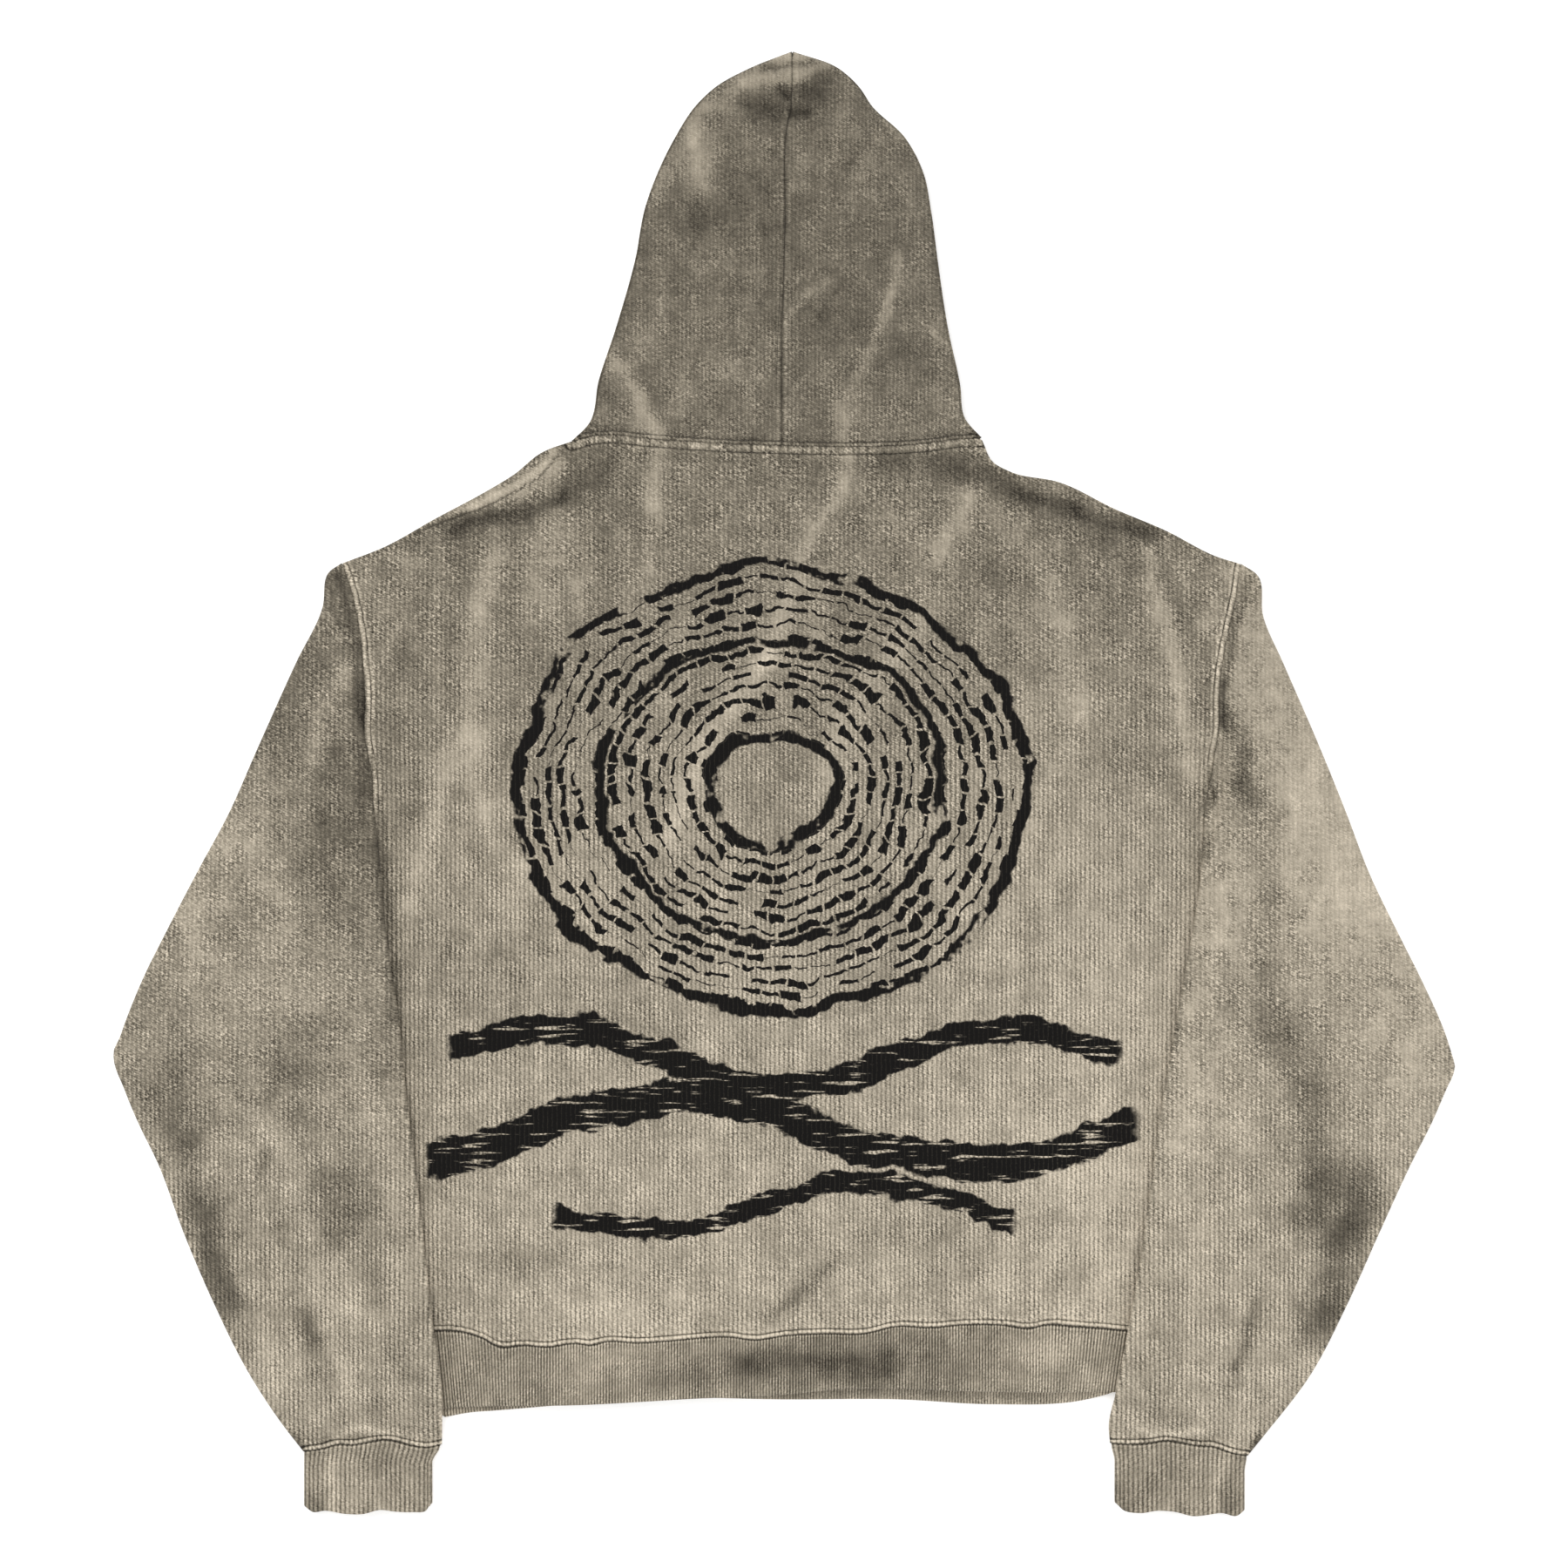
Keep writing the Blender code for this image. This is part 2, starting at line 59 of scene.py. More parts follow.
# Outlines and seams of the panels, in millimetres. The keys -1 and 1 are the left and the right side.
SIDE_LEFT = [
    (-256, -391), (-262, -365), (-273, -320), (-283, -250), (-288, -170), (-289.5, -100), (-290, -60),
    (-292.5, -22),
]
SIDE_RIGHT = [
    (246, -391), (254, -358), (267, -300), (277, -240), (287, -170), (295.5, -100), (299, -60), (301, -10),
]
ARMHOLE_LEFT = [
    (-292.5, -22), (-293.5, 10), (-297, 30), (-296.7, 62), (-298.5, 89), (-301.5, 111), (-308, 138),
    (-314.5, 155.5),
]
ARMHOLE_RIGHT = [
    (301, -10), (305, 13), (308.3, 36), (308.5, 64), (311.5, 90), (316, 111), (321.5, 134), (325, 155),
]
SHOULDER_LEFT = [
    (-314.5, 155.5), (-285, 167), (-248, 187.5), (-210, 208), (-192, 219), (-173, 234), (-150.5, 242.5),
]
SHOULDER_RIGHT = [
    (140, 245), (148, 228), (160.5, 221), (197, 213), (235, 194.5), (271.5, 179), (309, 160), (325, 155),
]
BACK_NECK = [
    (-150.5, 242.5), (-138, 246.3), (-123, 247.3), (-101, 245), (-63, 241.8), (-1, 239.2), (50, 238.4),
    (100, 241), (126, 244.6), (140, 245),
]
FRONT_NECK = [
    (-150.5, 242.5), (-128, 206), (-85, 173), (-40, 158), (0, 155), (40, 158), (83, 173), (122, 206),
    (140, 245),
]
HEM_SEAM = [
    (-256, -391), (-229, -391.5), (-216, -395), (-203, -401.5), (-185, -400), (-169, -401.3),
    (-149, -398.5), (-137, -399.8), (-127, -397.3), (-104, -398.2), (-78, -396.4), (-39, -394),
    (-20, -396.2), (-1, -393.3), (26, -391.7), (58, -391.5), (80, -386.5), (104, -387.3), (130, -385.2),
    (157, -385.6), (176, -388), (187, -385.6), (209, -387.3), (246, -391),
]
HEM_BACK_EDGE = [
    (-249, -446), (-225, -443.5), (-137, -441), (-68, -437), (-3, -434), (40, -430), (136, -431.5),
    (238.5, -433.5),
]
HEM_FRONT_EDGE = [
    (-249, -453.5), (-241, -451.5), (-224, -448.3), (-207, -447), (-137, -441.5), (-68, -438), (-3, -439),
    (81, -439), (150, -442.5), (211, -440), (238.5, -433.5),
]
SLEEVE_INNER = {
    -1: [
        (-292.5, -22), (-287.5, -62), (-282, -120), (-275.5, -160), (-270, -215), (-261, -292),
        (-250, -391), (-244.5, -434), (-245, -474),
    ],
    1: [
        (301, -10), (296, -72), (281, -160), (267, -246), (261, -292), (246.5, -384), (237, -434),
        (232.5, -458), (233.5, -471),
    ],
}
SLEEVE_OUTER = {
    -1: [
        (-314.5, 155.5), (-323.5, 149), (-327.8, 124), (-346, 86.5), (-374, 24.5), (-396, -25), (-416, -62),
        (-442, -112), (-454.5, -137), (-469, -172), (-473.7, -185), (-477, -191.5), (-477.3, -196.5),
        (-469.5, -220), (-460.7, -241.5), (-445.5, -273), (-427, -323), (-406, -372), (-381, -422),
        (-357.5, -458), (-342, -478),
    ],
    1: [
        (325, 155), (336.5, 147), (340.3, 118), (354, 86.5), (381, 24.5), (401, -25), (415, -62),
        (439, -112), (454.5, -143), (471.5, -182), (476, -196.5), (477.6, -202), (476.8, -207.5),
        (472, -218), (462.5, -240), (446, -273), (423, -323), (401, -372), (375, -422), (340.5, -467),
        (330, -480),
    ],
}
ARMHOLE = {-1: ARMHOLE_LEFT, 1: ARMHOLE_RIGHT}
CUFF_SEAM = {
    -1: [
        (-245, -472), (-254, -473.5), (-262, -472.3), (-272, -469.8), (-279, -467.9), (-286, -467.6),
        (-298, -469.7), (-307, -471.2), (-317, -470.9), (-329, -474.4), (-342, -476.5),
    ],
    1: [
        (233.5, -471), (241, -471.2), (251, -471), (261, -470), (269, -468.4), (275, -468.5), (284, -470),
        (296, -472), (306, -472.6), (313, -475.2), (320, -477.6), (330, -479.5),
    ],
}
CUFF_END = {
    -1: [
        (-251, -513.5), (-253.5, -517.4), (-264, -518.4), (-276, -517.8), (-287, -516.4), (-300, -519.3),
        (-313, -519.3), (-328, -517.4), (-337.5, -518.4), (-342, -515.5),
    ],
    1: [
        (236, -513), (239.5, -516.6), (252, -519), (266, -517), (279, -517.8), (291, -520.7), (303, -520),
        (312, -519), (325, -521), (328.3, -518.5),
    ],
}
HOOD_CENTRE = [(-1.5, 240), (-1.5, 310), (1, 400), (2, 463), (5, 480), (6, 519.85)]
HOOD_OUTLINE = {
    -1: [
        (-150.5, 242.5), (-138.5, 255), (-132, 285), (-120, 322), (-106, 372), (-99, 409), (-90, 434),
        (-78, 458.5), (-62, 483), (-48, 496), (-26.5, 508), (6, 521.1),
    ],
    1: [
        (140, 245), (129, 258), (125.5, 282), (117, 322), (109.5, 372), (104.5, 409), (99.5, 434),
        (87, 458.5), (62, 483), (53, 496), (40, 508), (6, 521.1),
    ],
}
FACE_EDGE = {
    -1: [(-6, 155), (-38, 196), (-68, 262), (-80, 330), (-72, 398), (-42, 448), (2, 466)],
    1: [(6, 155), (38, 196), (66, 262), (78, 330), (72, 398), (44, 448), (2, 466)],
}
CROWN_UNDER = [(6, 519.85), (3, 495), (2, 466)]
POCKET_HALF_WIDTH, POCKET_HALF_TOP = 165.0, 98.0
POCKET_BOTTOM, POCKET_SHOULDER, POCKET_TOP = -384.0, -300.0, -192.0
SHOULDER_ROLL = [(-160, 234), (-174, 217), (-189.5, 208), (-215.5, 195), (-238, 187.5), (-262, 178)]

# Where folds and the wash make the cloth darker or lighter: the change of tone, the half width and the rise
# in millimetres, and the line that it follows. The tone is partly the wash's own light and dark patches and
# partly
# painted shade and light: painted shade in folds and creases and along the sleeves' inner edges over the
# body, and painted light on the raised ridges between them.
BODY_MARKS = [
    (0.12, 7, 0.8, [(-207, 172), (-213, 153), (-215, 126)]),
    (0.14, 6.5, 1, [(-216, 119), (-220, 93), (-222, 66), (-225, 39)]),
    (0.11, 8.5, 0.9, [(-227, 29), (-237, 12), (-243, -11)]),
    (0.13, 6.5, 0.7, [(-250, -28), (-259, -60), (-268, -86)]),
    (0.1, 8.5, 0.8, [(-222, 29), (-215, 6), (-210, -18)]),
    (0.12, 7.5, 0.7, [(-208, -24), (-203, -48), (-188, -61), (-175, -71)]),
    (0.07, 3.3, 0.4, [(-247, 176), (-247, 126), (-245, 73)]),
    (0.11, 11, 0.6, [(-166, 188), (-171, 163), (-170, 133)]),
    (0.07, 4.5, 0.3, [(-155, 188), (-155, 160), (-148, 130)]),
    (0.13, 5.5, 0.7, [(-91, 234), (-91, 217), (-92, 200)]),
    (0.08, 6.5, 0.4, [(-92, 193), (-93, 150)]),
    (0.05, 4, 0.2, [(-86, 210), (-76, 195), (-68, 178)]),
    (0.14, 7, 0, [(-171, 227), (-183, 213), (-202, 205), (-222, 196)]),
    (0.1, 6, 0.8, [(-165, 228), (-167, 213)]),
    # Painted shade in the fold along the left shoulder.
    (-0.2, 5.5, -1.2, [(-238, 179), (-222, 184), (-205, 189), (-188, 194), (-171, 199), (-161, 203)]),
    (-0.1, 8, -0.6, [(-155, 210), (-140, 218), (-126, 225)]),
    (-0.05, 13, 0, [(-255, 170), (-222, 176), (-171, 190), (-135, 210)]),
    (-0.05, 8, 0, [(-151, 233), (-150, 207)]),
    (-0.06, 5, -0.3, [(-272, 103), (-279, 73)]),
    (0.05, 2.5, 0.4, [(-285, 163), (-258, 156)]),
    (0.05, 2.2, 0.4, [(-292, -6), (-272, -9), (-253, -10)]),
    (-0.04, 10, 0, [(-1, 223), (16, 222)]),
    (0.13, 5, 0.7, [(43, 228), (36, 203), (25, 180), (13, 160)]),
    (0.12, 7, 0.5, [(8, 146), (-2, 116), (-12, 86)]),
    (0.14, 8, 0.5, [(-11, 93), (-31, 63), (-51, 32), (-71, -4), (-84, -38)]),
    (0.16, 9, 0.9, [(134, 203), (124, 185), (110, 165)]),
    (0.12, 9, 0.5, [(103, 133), (85, 99), (63, 73), (46, 42), (35, 6)]),
    (0.05, 10, 0.3, [(160, 186), (175, 160), (189, 126), (202, 86), (206, 53)]),
    (0.12, 3.6, 0.7, [(254, 168), (262, 140), (272, 106), (279, 66), (284, 32), (291, 6)]),
    (0.06, 3, 0.3, [(267, 171), (281, 146), (289, 119)]),
    (0.07, 6, 0.5, [(313, 148), (307, 113), (302, 83)]),
    # Painted shade in the fold along the right shoulder.
    (-0.12, 9, -0.8, [(72, 228), (95, 227), (118, 223)]),
    (-0.14, 8, -1, [(122, 222), (145, 211), (165, 205)]),
    (-0.21, 6.5, -1.4, [(175, 202), (195, 196), (216, 188), (236, 180), (256, 175)]),
    (0.06, 6, 0.3, [(132, 239), (149, 230)]),
    (-0.07, 7, 0, [(222, 170), (239, 160), (252, 151)]),
    (-0.05, 8, 0, [(142, 150), (162, 136)]),
    # Painted shade along the right side seam, where the right sleeve's inner edge lies over it.
    (-0.06, 2.0, -0.4, [(303, 10), (299, -22)]),
    (-0.07, 5, -0.3, [(298, -8), (293, -41), (291, -71)]),
    (-0.09, 7, -0.2, [(272, 150), (286, 116), (298, 79), (296, 48)]),
    (-0.04, 16, 0, [(232, 140), (240, 100), (243, 60), (240, 20)]),
    (0.05, 9, 0.2, [(200, 120), (204, 84), (206, 52)]),
    (-0.04, 9, 0, [(256, 19), (269, 6)]),
    # Painted shade along the left side seam, where the left sleeve's inner edge lies over it.
    (-0.11, 3.2, -0.8, [(-289, -14), (-286, -57), (-281, -100)]),
    (-0.1, 3.5, -0.5, [(-278, -125), (-274, -168)]),
    (-0.12, 5, -0.9, [(43, -339), (26, -353), (6, -367), (-11, -381)]),
    (0.04, 11, 0.4, [(-28, -359), (-68, -370), (-171, -373)]),
    (-0.1, 8, -0.2, [(-205, -339), (-162, -340)]),
    (-0.04, 14, 0, [(-80, -347), (-40, -359)]),
    (-0.03, 18, 0, [(114, -330), (160, -307), (206, -319)]),
    (-0.045, 27, 0, [(-248, -135), (-180, -150), (-110, -165)]),
    (-0.035, 28, 0, [(-10, -100), (60, -115), (100, -122)]),
    (0.03, 25, 0.2, [(120, -250), (200, -270)]),
]
HOOD_MARKS = [
    (0.14, 7, 0.3, [(0, 519), (7, 519)]),
    # Painted shade in a crease near the crown.
    (-0.13, 2, -1, [(-16, 508), (-6, 511), (4, 514), (20, 513)]),
    (0.15, 4, 0.8, [(29, 510), (16, 505), (7, 503)]),
    (0.13, 5, 0.8, [(-1, 503), (-16, 502), (-29, 499)]),
    (0.11, 5, 0.8, [(-30, 497), (-38, 491), (-48, 481), (-58, 472), (-64, 457)]),
    (0.08, 10, 0.3, [(-67, 452), (-64, 436), (-54, 417)]),
    # Painted shade in the creases of the pinch under the crown.
    (-0.13, 11, -0.8, [(29, 501), (33, 493), (20, 489)]),
    (-0.22, 3.5, -1.6, [(5, 473), (16, 473)]),
    (-0.16, 3, -1.4, [(-5, 493), (0, 485)]),
    (-0.12, 6, -0.8, [(-24, 478), (-9, 473)]),
    (-0.08, 12, 0, [(-22, 485), (13, 485)]),
    (0.08, 12, 0.3, [(-85, 436), (-92, 420)]),
    (0.05, 9, 0.2, [(-58, 449), (-58, 423)]),
    (-0.06, 16, 0, [(-64, 394), (-54, 404), (-32, 414)]),
    (-0.05, 9, 0, [(-77, 407), (-64, 391)]),
    (0.06, 3, 0.3, [(-84, 391), (-72, 378)]),
    (0.07, 5, 0.3, [(12, 443), (13, 423)]),
    (0.1, 2.8, 0.6, [(29, 351), (13, 343), (4, 333), (0, 320)]),
    (0.06, 3, 0.4, [(-64, 365), (-42, 364), (-19, 360)]),
    (0.07, 2.5, 0.4, [(7, 356), (20, 357), (31, 352)]),
    (0.05, 2.5, 0.3, [(42, 372), (45, 356)]),
    (0.15, 3.6, 0.9, [(83, 375), (79, 356), (71, 333), (62, 310), (54, 288)]),
    (0.12, 4.5, 0.7, [(50, 278), (45, 262)]),
    (0.08, 4, 0.3, [(44, 256), (41, 246)]),
    (0.08, 1.8, 0.4, [(94, 333), (107, 318), (118, 306)]),
    (-0.06, 14, 0, [(71, 307), (91, 298)]),
    (-0.06, 7, -0.3, [(68, 368), (73, 359)]),
    (-0.03, 9, 0, [(29, 333), (39, 339)]),
    (0.15, 5, 0.8, [(-125, 307), (-116, 296), (-104, 278), (-96, 262), (-92, 249)]),
    (0.09, 8, 0.4, [(-100, 262), (-92, 246)]),
    (-0.05, 5, 0, [(-132, 278), (-122, 275)]),
    (0.05, 14, 0.3, [(-38, 288), (-22, 291)]),
    (0.03, 16, 0, [(-84, 323), (-54, 314)]),
    (0.08, 6, 0.3, [(78, 468), (94, 449)]),
    (0.04, 6, 0.2, [(116, 269), (126, 259)]),
]
SLEEVE_MARKS = [
    (0.14, 5.5, 0.8, [(-314, 76), (-323, 58), (-330, 37), (-336, 19)]),
    # Painted shade in the fold beside the left armhole seam.
    (-0.08, 3.6, -0.8, [(-316, 144), (-309, 124), (-305, 106)]),
    (-0.13, 1.4, -0.6, [(-322, 143), (-318, 124), (-312, 108)]),
    (-0.12, 4.0, -1.2, [(-304, 98), (-302, 80), (-301, 60), (-300, 40)]),
    (-0.1, 1.8, -0.8, [(-298, 70), (-298.5, 45), (-296, 14)]),
    # Painted shade along the left sleeve's inner fold, where it lies over the body.
    (-0.13, 3.4, -1.4, [(-292, -14), (-289, -57), (-284, -100)]),
    (-0.14, 5, -1, [(-280, -132), (-276, -168)]),
    (-0.09, 17, -0.3, [(-325, -39), (-329, -60), (-325, -93)]),
    (-0.05, 12, 0, [(-365, 47), (-357, 22)]),
    (0.08, 8, 0.4, [(-368, -75), (-354, -86)]),
    (0.05, 22, 0.3, [(-350, -114), (-332, -143), (-365, -161)]),
    (0.07, 8, 0.4, [(-428, -93), (-415, -122)]),
    (-0.06, 10, 0, [(-406, -100), (-390, -107)]),
    (-0.06, 7, 0, [(-401, -66), (-386, -64)]),
    (-0.05, 9, 0, [(-357, 55), (-375, 29), (-386, 1)]),
    (-0.04, 10, 0, [(-339, 105), (-347, 69)]),
    (0.05, 6, 0.2, [(-332, 119), (-339, 101)]),
    (-0.09, 9, -0.3, [(-357, -201), (-350, -205)]),
    (-0.06, 17, 0, [(-368, -183), (-339, -176), (-347, -197)]),
    (-0.05, 5, 0, [(-379, -224), (-343, -235)]),
    (-0.1, 12, -0.4, [(-429, -208), (-429, -233), (-426, -248)]),
    (-0.05, 14, 0, [(-455, -226), (-447, -248)]),
    (-0.17, 8, -0.8, [(-415, -298), (-408, -313), (-406, -327), (-401, -349), (-393, -370)]),
    (-0.09, 8, -0.3, [(-417, -356), (-397, -388), (-386, -399)]),
    (-0.07, 7, 0, [(-424, -255), (-417, -284)]),
    (-0.05, 18, 0, [(-452, -165), (-436, -215), (-423, -262), (-412, -300)]),
    (-0.05, 14, 0, [(-410, -300), (-396, -355)]),
    (-0.04, 28, 0, [(-352, 50), (-335, 0)]),
    (0.07, 10, 0.4, [(-365, -255), (-350, -269), (-345, -291)]),
    (0.06, 12, 0.3, [(-397, -266), (-390, -291)]),
    (-0.12, 4, -0.3, [(-368, -266), (-368, -273)]),
    (-0.12, 5, -0.4, [(-359, -320), (-357, -327)]),
    (-0.14, 5.5, -0.5, [(-338, -384), (-334, -395)]),
    (-0.06, 6, -0.3, [(-347, -370), (-332, -406), (-329, -424)]),
    (-0.11, 15, -0.4, [(-325, -291), (-311, -313)]),
    (-0.08, 6, -0.2, [(-327, -316), (-323, -322)]),
    (-0.05, 8, 0, [(-293, -298), (-296, -305)]),
    (-0.06, 7, 0, [(-293, -345), (-287, -363)]),
    (-0.05, 7, 0, [(-282, -392), (-271, -420)]),
    (0.08, 9, 0.5, [(-329, -349), (-332, -363), (-321, -377)]),
    (0.06, 8, 0.3, [(-314, -341), (-307, -377)]),
    (0.06, 9, 0.4, [(-365, -399), (-361, -420), (-365, -435)]),
    (0.05, 7, 0.3, [(-314, -410), (-314, -428)]),
    (0.05, 18, 0.2, [(-300, -230), (-282, -241)]),
    (-0.06, 11, 0, [(-282, -183), (-278, -205)]),
    # Painted shade and light on the folds and ridges just above the cuff seams.
    (-0.12, 2.2, -1, [(-345, -462), (-336, -467), (-321, -466)]),
    (-0.2, 2.4, -1, [(-350, -463), (-345, -469), (-341, -474)]),
    (-0.22, 2.2, -1, [(338, -467), (334, -473), (330, -478)]),
    (0.1, 2.2, 0.9, [(-309, -463), (-296, -461), (-284, -461)]),
    (-0.1, 2, -0.8, [(-311, -468), (-289, -467), (-268, -468)]),
    # Painted shade in the fold beside the right armhole seam.
    (-0.13, 3.8, -0.9, [(330, 144), (326, 129), (321, 112), (316.5, 92), (313.5, 70)]),
    (-0.1, 1.6, -0.6, [(337, 143), (333, 128), (328, 114)]),
    (-0.22, 2.4, -1.3, [(312, 68), (311.5, 50), (310.5, 38)]),
    (-0.13, 6.5, -0.6, [(314, 46), (318, 32), (325, 17), (329, 2)]),
    # Painted shade along the right sleeve's inner fold, where it lies over the body.
    (-0.15, 3, -1, [(307, 11), (302, -21), (298, -57)]),
    (-0.12, 3.5, -1, [(291, -93), (288, -125), (282, -154), (277, -183)]),
    (-0.07, 3, -0.6, [(276, -190), (268, -246), (263, -292), (256, -330)]),
    (-0.1, 8, -0.5, [(326, 8), (333, -8)]),
    (-0.14, 9.5, -0.6, [(331, -10), (340, -17), (353, -23)]),
    (-0.08, 9, -0.2, [(344, -35), (350, -60), (346, -93)]),
    (-0.07, 6, 0, [(342, -132), (351, -138)]),
    (-0.05, 20, 0, [(330, -158), (355, -172)]),
    (0.1, 4, 0.5, [(310, -75), (312, -96), (315, -114)]),
    (0.04, 25, 0.3, [(355, 83), (384, -50), (412, -89)]),
    (0.07, 6, 0.3, [(409, -75), (427, -93)]),
    (0.06, 6, 0, [(427, -60), (463, -172)]),
    (-0.05, 9, 0, [(366, 37), (344, 29)]),
    (-0.06, 4, 0, [(429, -143), (434, -145)]),
    (-0.07, 13, -0.3, [(348, -172), (366, -190), (375, -215)]),
    (-0.035, 24, 0, [(326, -132), (352, -172), (372, -225), (385, -270)]),
    (-0.06, 22, 0, [(385, -275), (398, -300), (392, -345), (384, -380)]),
    (-0.07, 9, 0, [(377, -223), (373, -248)]),
    (-0.2, 13, -0.8, [(384, -284), (405, -291), (411, -309)]),
    (-0.13, 10, -0.5, [(362, -305), (384, -309), (405, -320)]),
    (-0.16, 12, -0.5, [(398, -334), (395, -356), (387, -377)]),
    (-0.08, 10, 0, [(380, -384), (373, -402)]),
    (0.07, 14, 0.3, [(459, -190), (441, -255)]),
    (-0.14, 4.5, -1, [(332, -370), (328, -395), (323, -417)]),
    (-0.06, 6, 0, [(319, -420), (315, -435)]),
    (0.05, 6, 0.5, [(348, -349), (355, -384), (351, -420)]),
    (0.06, 12, 0.3, [(337, -449), (355, -438), (369, -420)]),
    (0.03, 30, 0.3, [(276, -255), (283, -341)]),
    (-0.03, 2.5, -0.4, [(290, -268), (330, -266)]),
    (-0.05, 10, 0, [(258, -449), (283, -456)]),
    # Painted light on the ridge and painted shade in the groove just above the right cuff seam.
    (0.12, 2.2, 0.9, [(254, -462), (279, -463), (297, -460)]),
    (-0.13, 2.2, -0.8, [(254, -468), (283, -469), (305, -467)]),
]
RIB_MARKS = [
    (-0.17, 9, 0, [(-28, -416), (23, -413), (74, -416)]),
    (-0.07, 8, 0, [(-91, -426), (-28, -413)]),
    (-0.06, 14, 0, [(35, -401), (114, -410)]),
    (-0.04, 15, 0, [(-70, -422), (20, -412), (95, -422)]),
    (0.07, 10, 0, [(171, -404), (206, -401)]),
    (0.05, 10, 0, [(-142, -407), (-114, -410)]),
    (0.11, 3.5, 0, [(-321, -482), (-318, -500), (-318, -518)]),
    (-0.12, 7, 0, [(-334, -514), (-329, -519)]),
    (-0.05, 5, 0, [(-253, -485), (-253, -518)]),
    (-0.05, 8, 0, [(-296, -485), (-275, -482)]),
    (0.1, 3.5, 0, [(315, -482), (310, -496), (306, -518)]),
    (-0.08, 5, 0, [(314, -503), (316, -518)]),
    (-0.1, 6, 0, [(238, -507), (242, -516)]),
    (-0.05, 9, 0, [(283, -492), (254, -500)]),
]

# Across a seam: how far from it, how wide, how high in millimetres, and the change of tone, which is painted
# shade in the seam's grooves and creases and painted light on its raised welts.
NECK_WELT = [
    (0.0, 0.8, -1.0, -0.42), (2.9, 1.6, 0.8, 0.13), (5.9, 0.75, -0.6, -0.42), (7.6, 0.7, 0.2, 0.05),
    (12.0, 3.5, 0.0, -0.03),
]
HOOD_FOOT = [
    (0.0, 0.7, -0.8, -0.42), (1.4, 0.5, 0.1, 0.06), (2.7, 0.6, -0.4, -0.36), (5.0, 3.0, 0.0, -0.03),
]
ARMHOLE_WELT = [
    (0.0, 0.5, -0.9, -0.20), (1.6, 1.0, 0.8, 0.30), (3.4, 0.5, -0.4, -0.30), (4.8, 0.8, 0.5, 0.22),
]
SLEEVE_HEAD = [
    (0.0, 0.8, -0.8, -0.10), (2.4, 1.0, 0.3, 0.0), (6.0, 2.6, -0.9, -0.05), (12.0, 3.0, 0.7, 0.02),
]
HEM_WELT = [(0.0, 0.7, -0.8, -0.52), (1.7, 0.7, 0.6, 0.26), (3.3, 0.75, -0.6, -0.62), (5.0, 1.0, 0.3, 0.09)]
RIB_HEAD = [(0.0, 0.7, 0.0, -0.52), (1.5, 0.6, 0.0, 0.12), (3.2, 1.4, 0.0, -0.04)]
CENTRE_CREASE = [(0.0, 0.95, -1.2, -0.42), (2.8, 1.2, 0.35, 0.04)]
ROLL_WELT = [(0.0, 0.65, -0.6, -0.30), (-3.8, 2.8, 0.8, 0.15)]
FACE_HEM = [(24.0, 0.8, 0.0, -0.16), (12.0, 12.0, 0.0, 0.05)]
POCKET_HEM = [(1.0, 1.0, 0.0, 0.06), (3.0, 0.7, 0.0, -0.12), (9.0, 0.7, 0.0, -0.10)]


# --- Sizes and colours that a user would change ---------------------------------------------------


class SweatshirtSizes(bpy.types.PropertyGroup):
    """Thicknesses, swell, ribs and stitches of the sweatshirt."""

    fabric: FloatProperty(
        name="Fabric", description="Thickness of the body's knit", default=2.2 * MM, unit="LENGTH"
    )
    hood_cloth: FloatProperty(
        name="Hood cloth", description="Thickness of the lined hood", default=2.6 * MM, unit="LENGTH"
    )
    rib: FloatProperty(
        name="Rib", description="Thickness of the doubled rib", default=3.0 * MM, unit="LENGTH"
    )
    body_swell: FloatProperty(
        name="Body swell", description="Rise of the back over its edges", default=14 * MM, unit="LENGTH"
    )
    sleeve_swell: FloatProperty(
        name="Sleeve swell", description="Rise of a sleeve over its folds", default=11 * MM, unit="LENGTH"
    )
    hood_swell: FloatProperty(
        name="Hood swell", description="Rise of the hood over its fold", default=20 * MM, unit="LENGTH"
    )
    hem_pitch: FloatProperty(
        name="Hem rib", description="Spacing of the hem's ribs", default=2.15 * MM, unit="LENGTH"
    )
    cuff_pitch: FloatProperty(
        name="Cuff rib", description="Spacing of the cuffs' ribs", default=3.3 * MM, unit="LENGTH"
    )
    rib_depth: FloatProperty(
        name="Rib depth", description="Height of a rib over its valley", default=0.55 * MM, unit="LENGTH"
    )
    stitch: FloatProperty(
        name="Stitch", description="Length of a visible stitch", default=2.9 * MM, unit="LENGTH"
    )
    thread: FloatProperty(
        name="Thread", description="Thickness of the sewing thread", default=0.55 * MM, unit="LENGTH"
    )
    wale: FloatProperty(
        name="Wale", description="Width of a column of knit loops", default=3.29 * MM, unit="LENGTH"
    )
    course: FloatProperty(
        name="Course", description="Height of a row of knit loops", default=1.8 * MM, unit="LENGTH"
    )


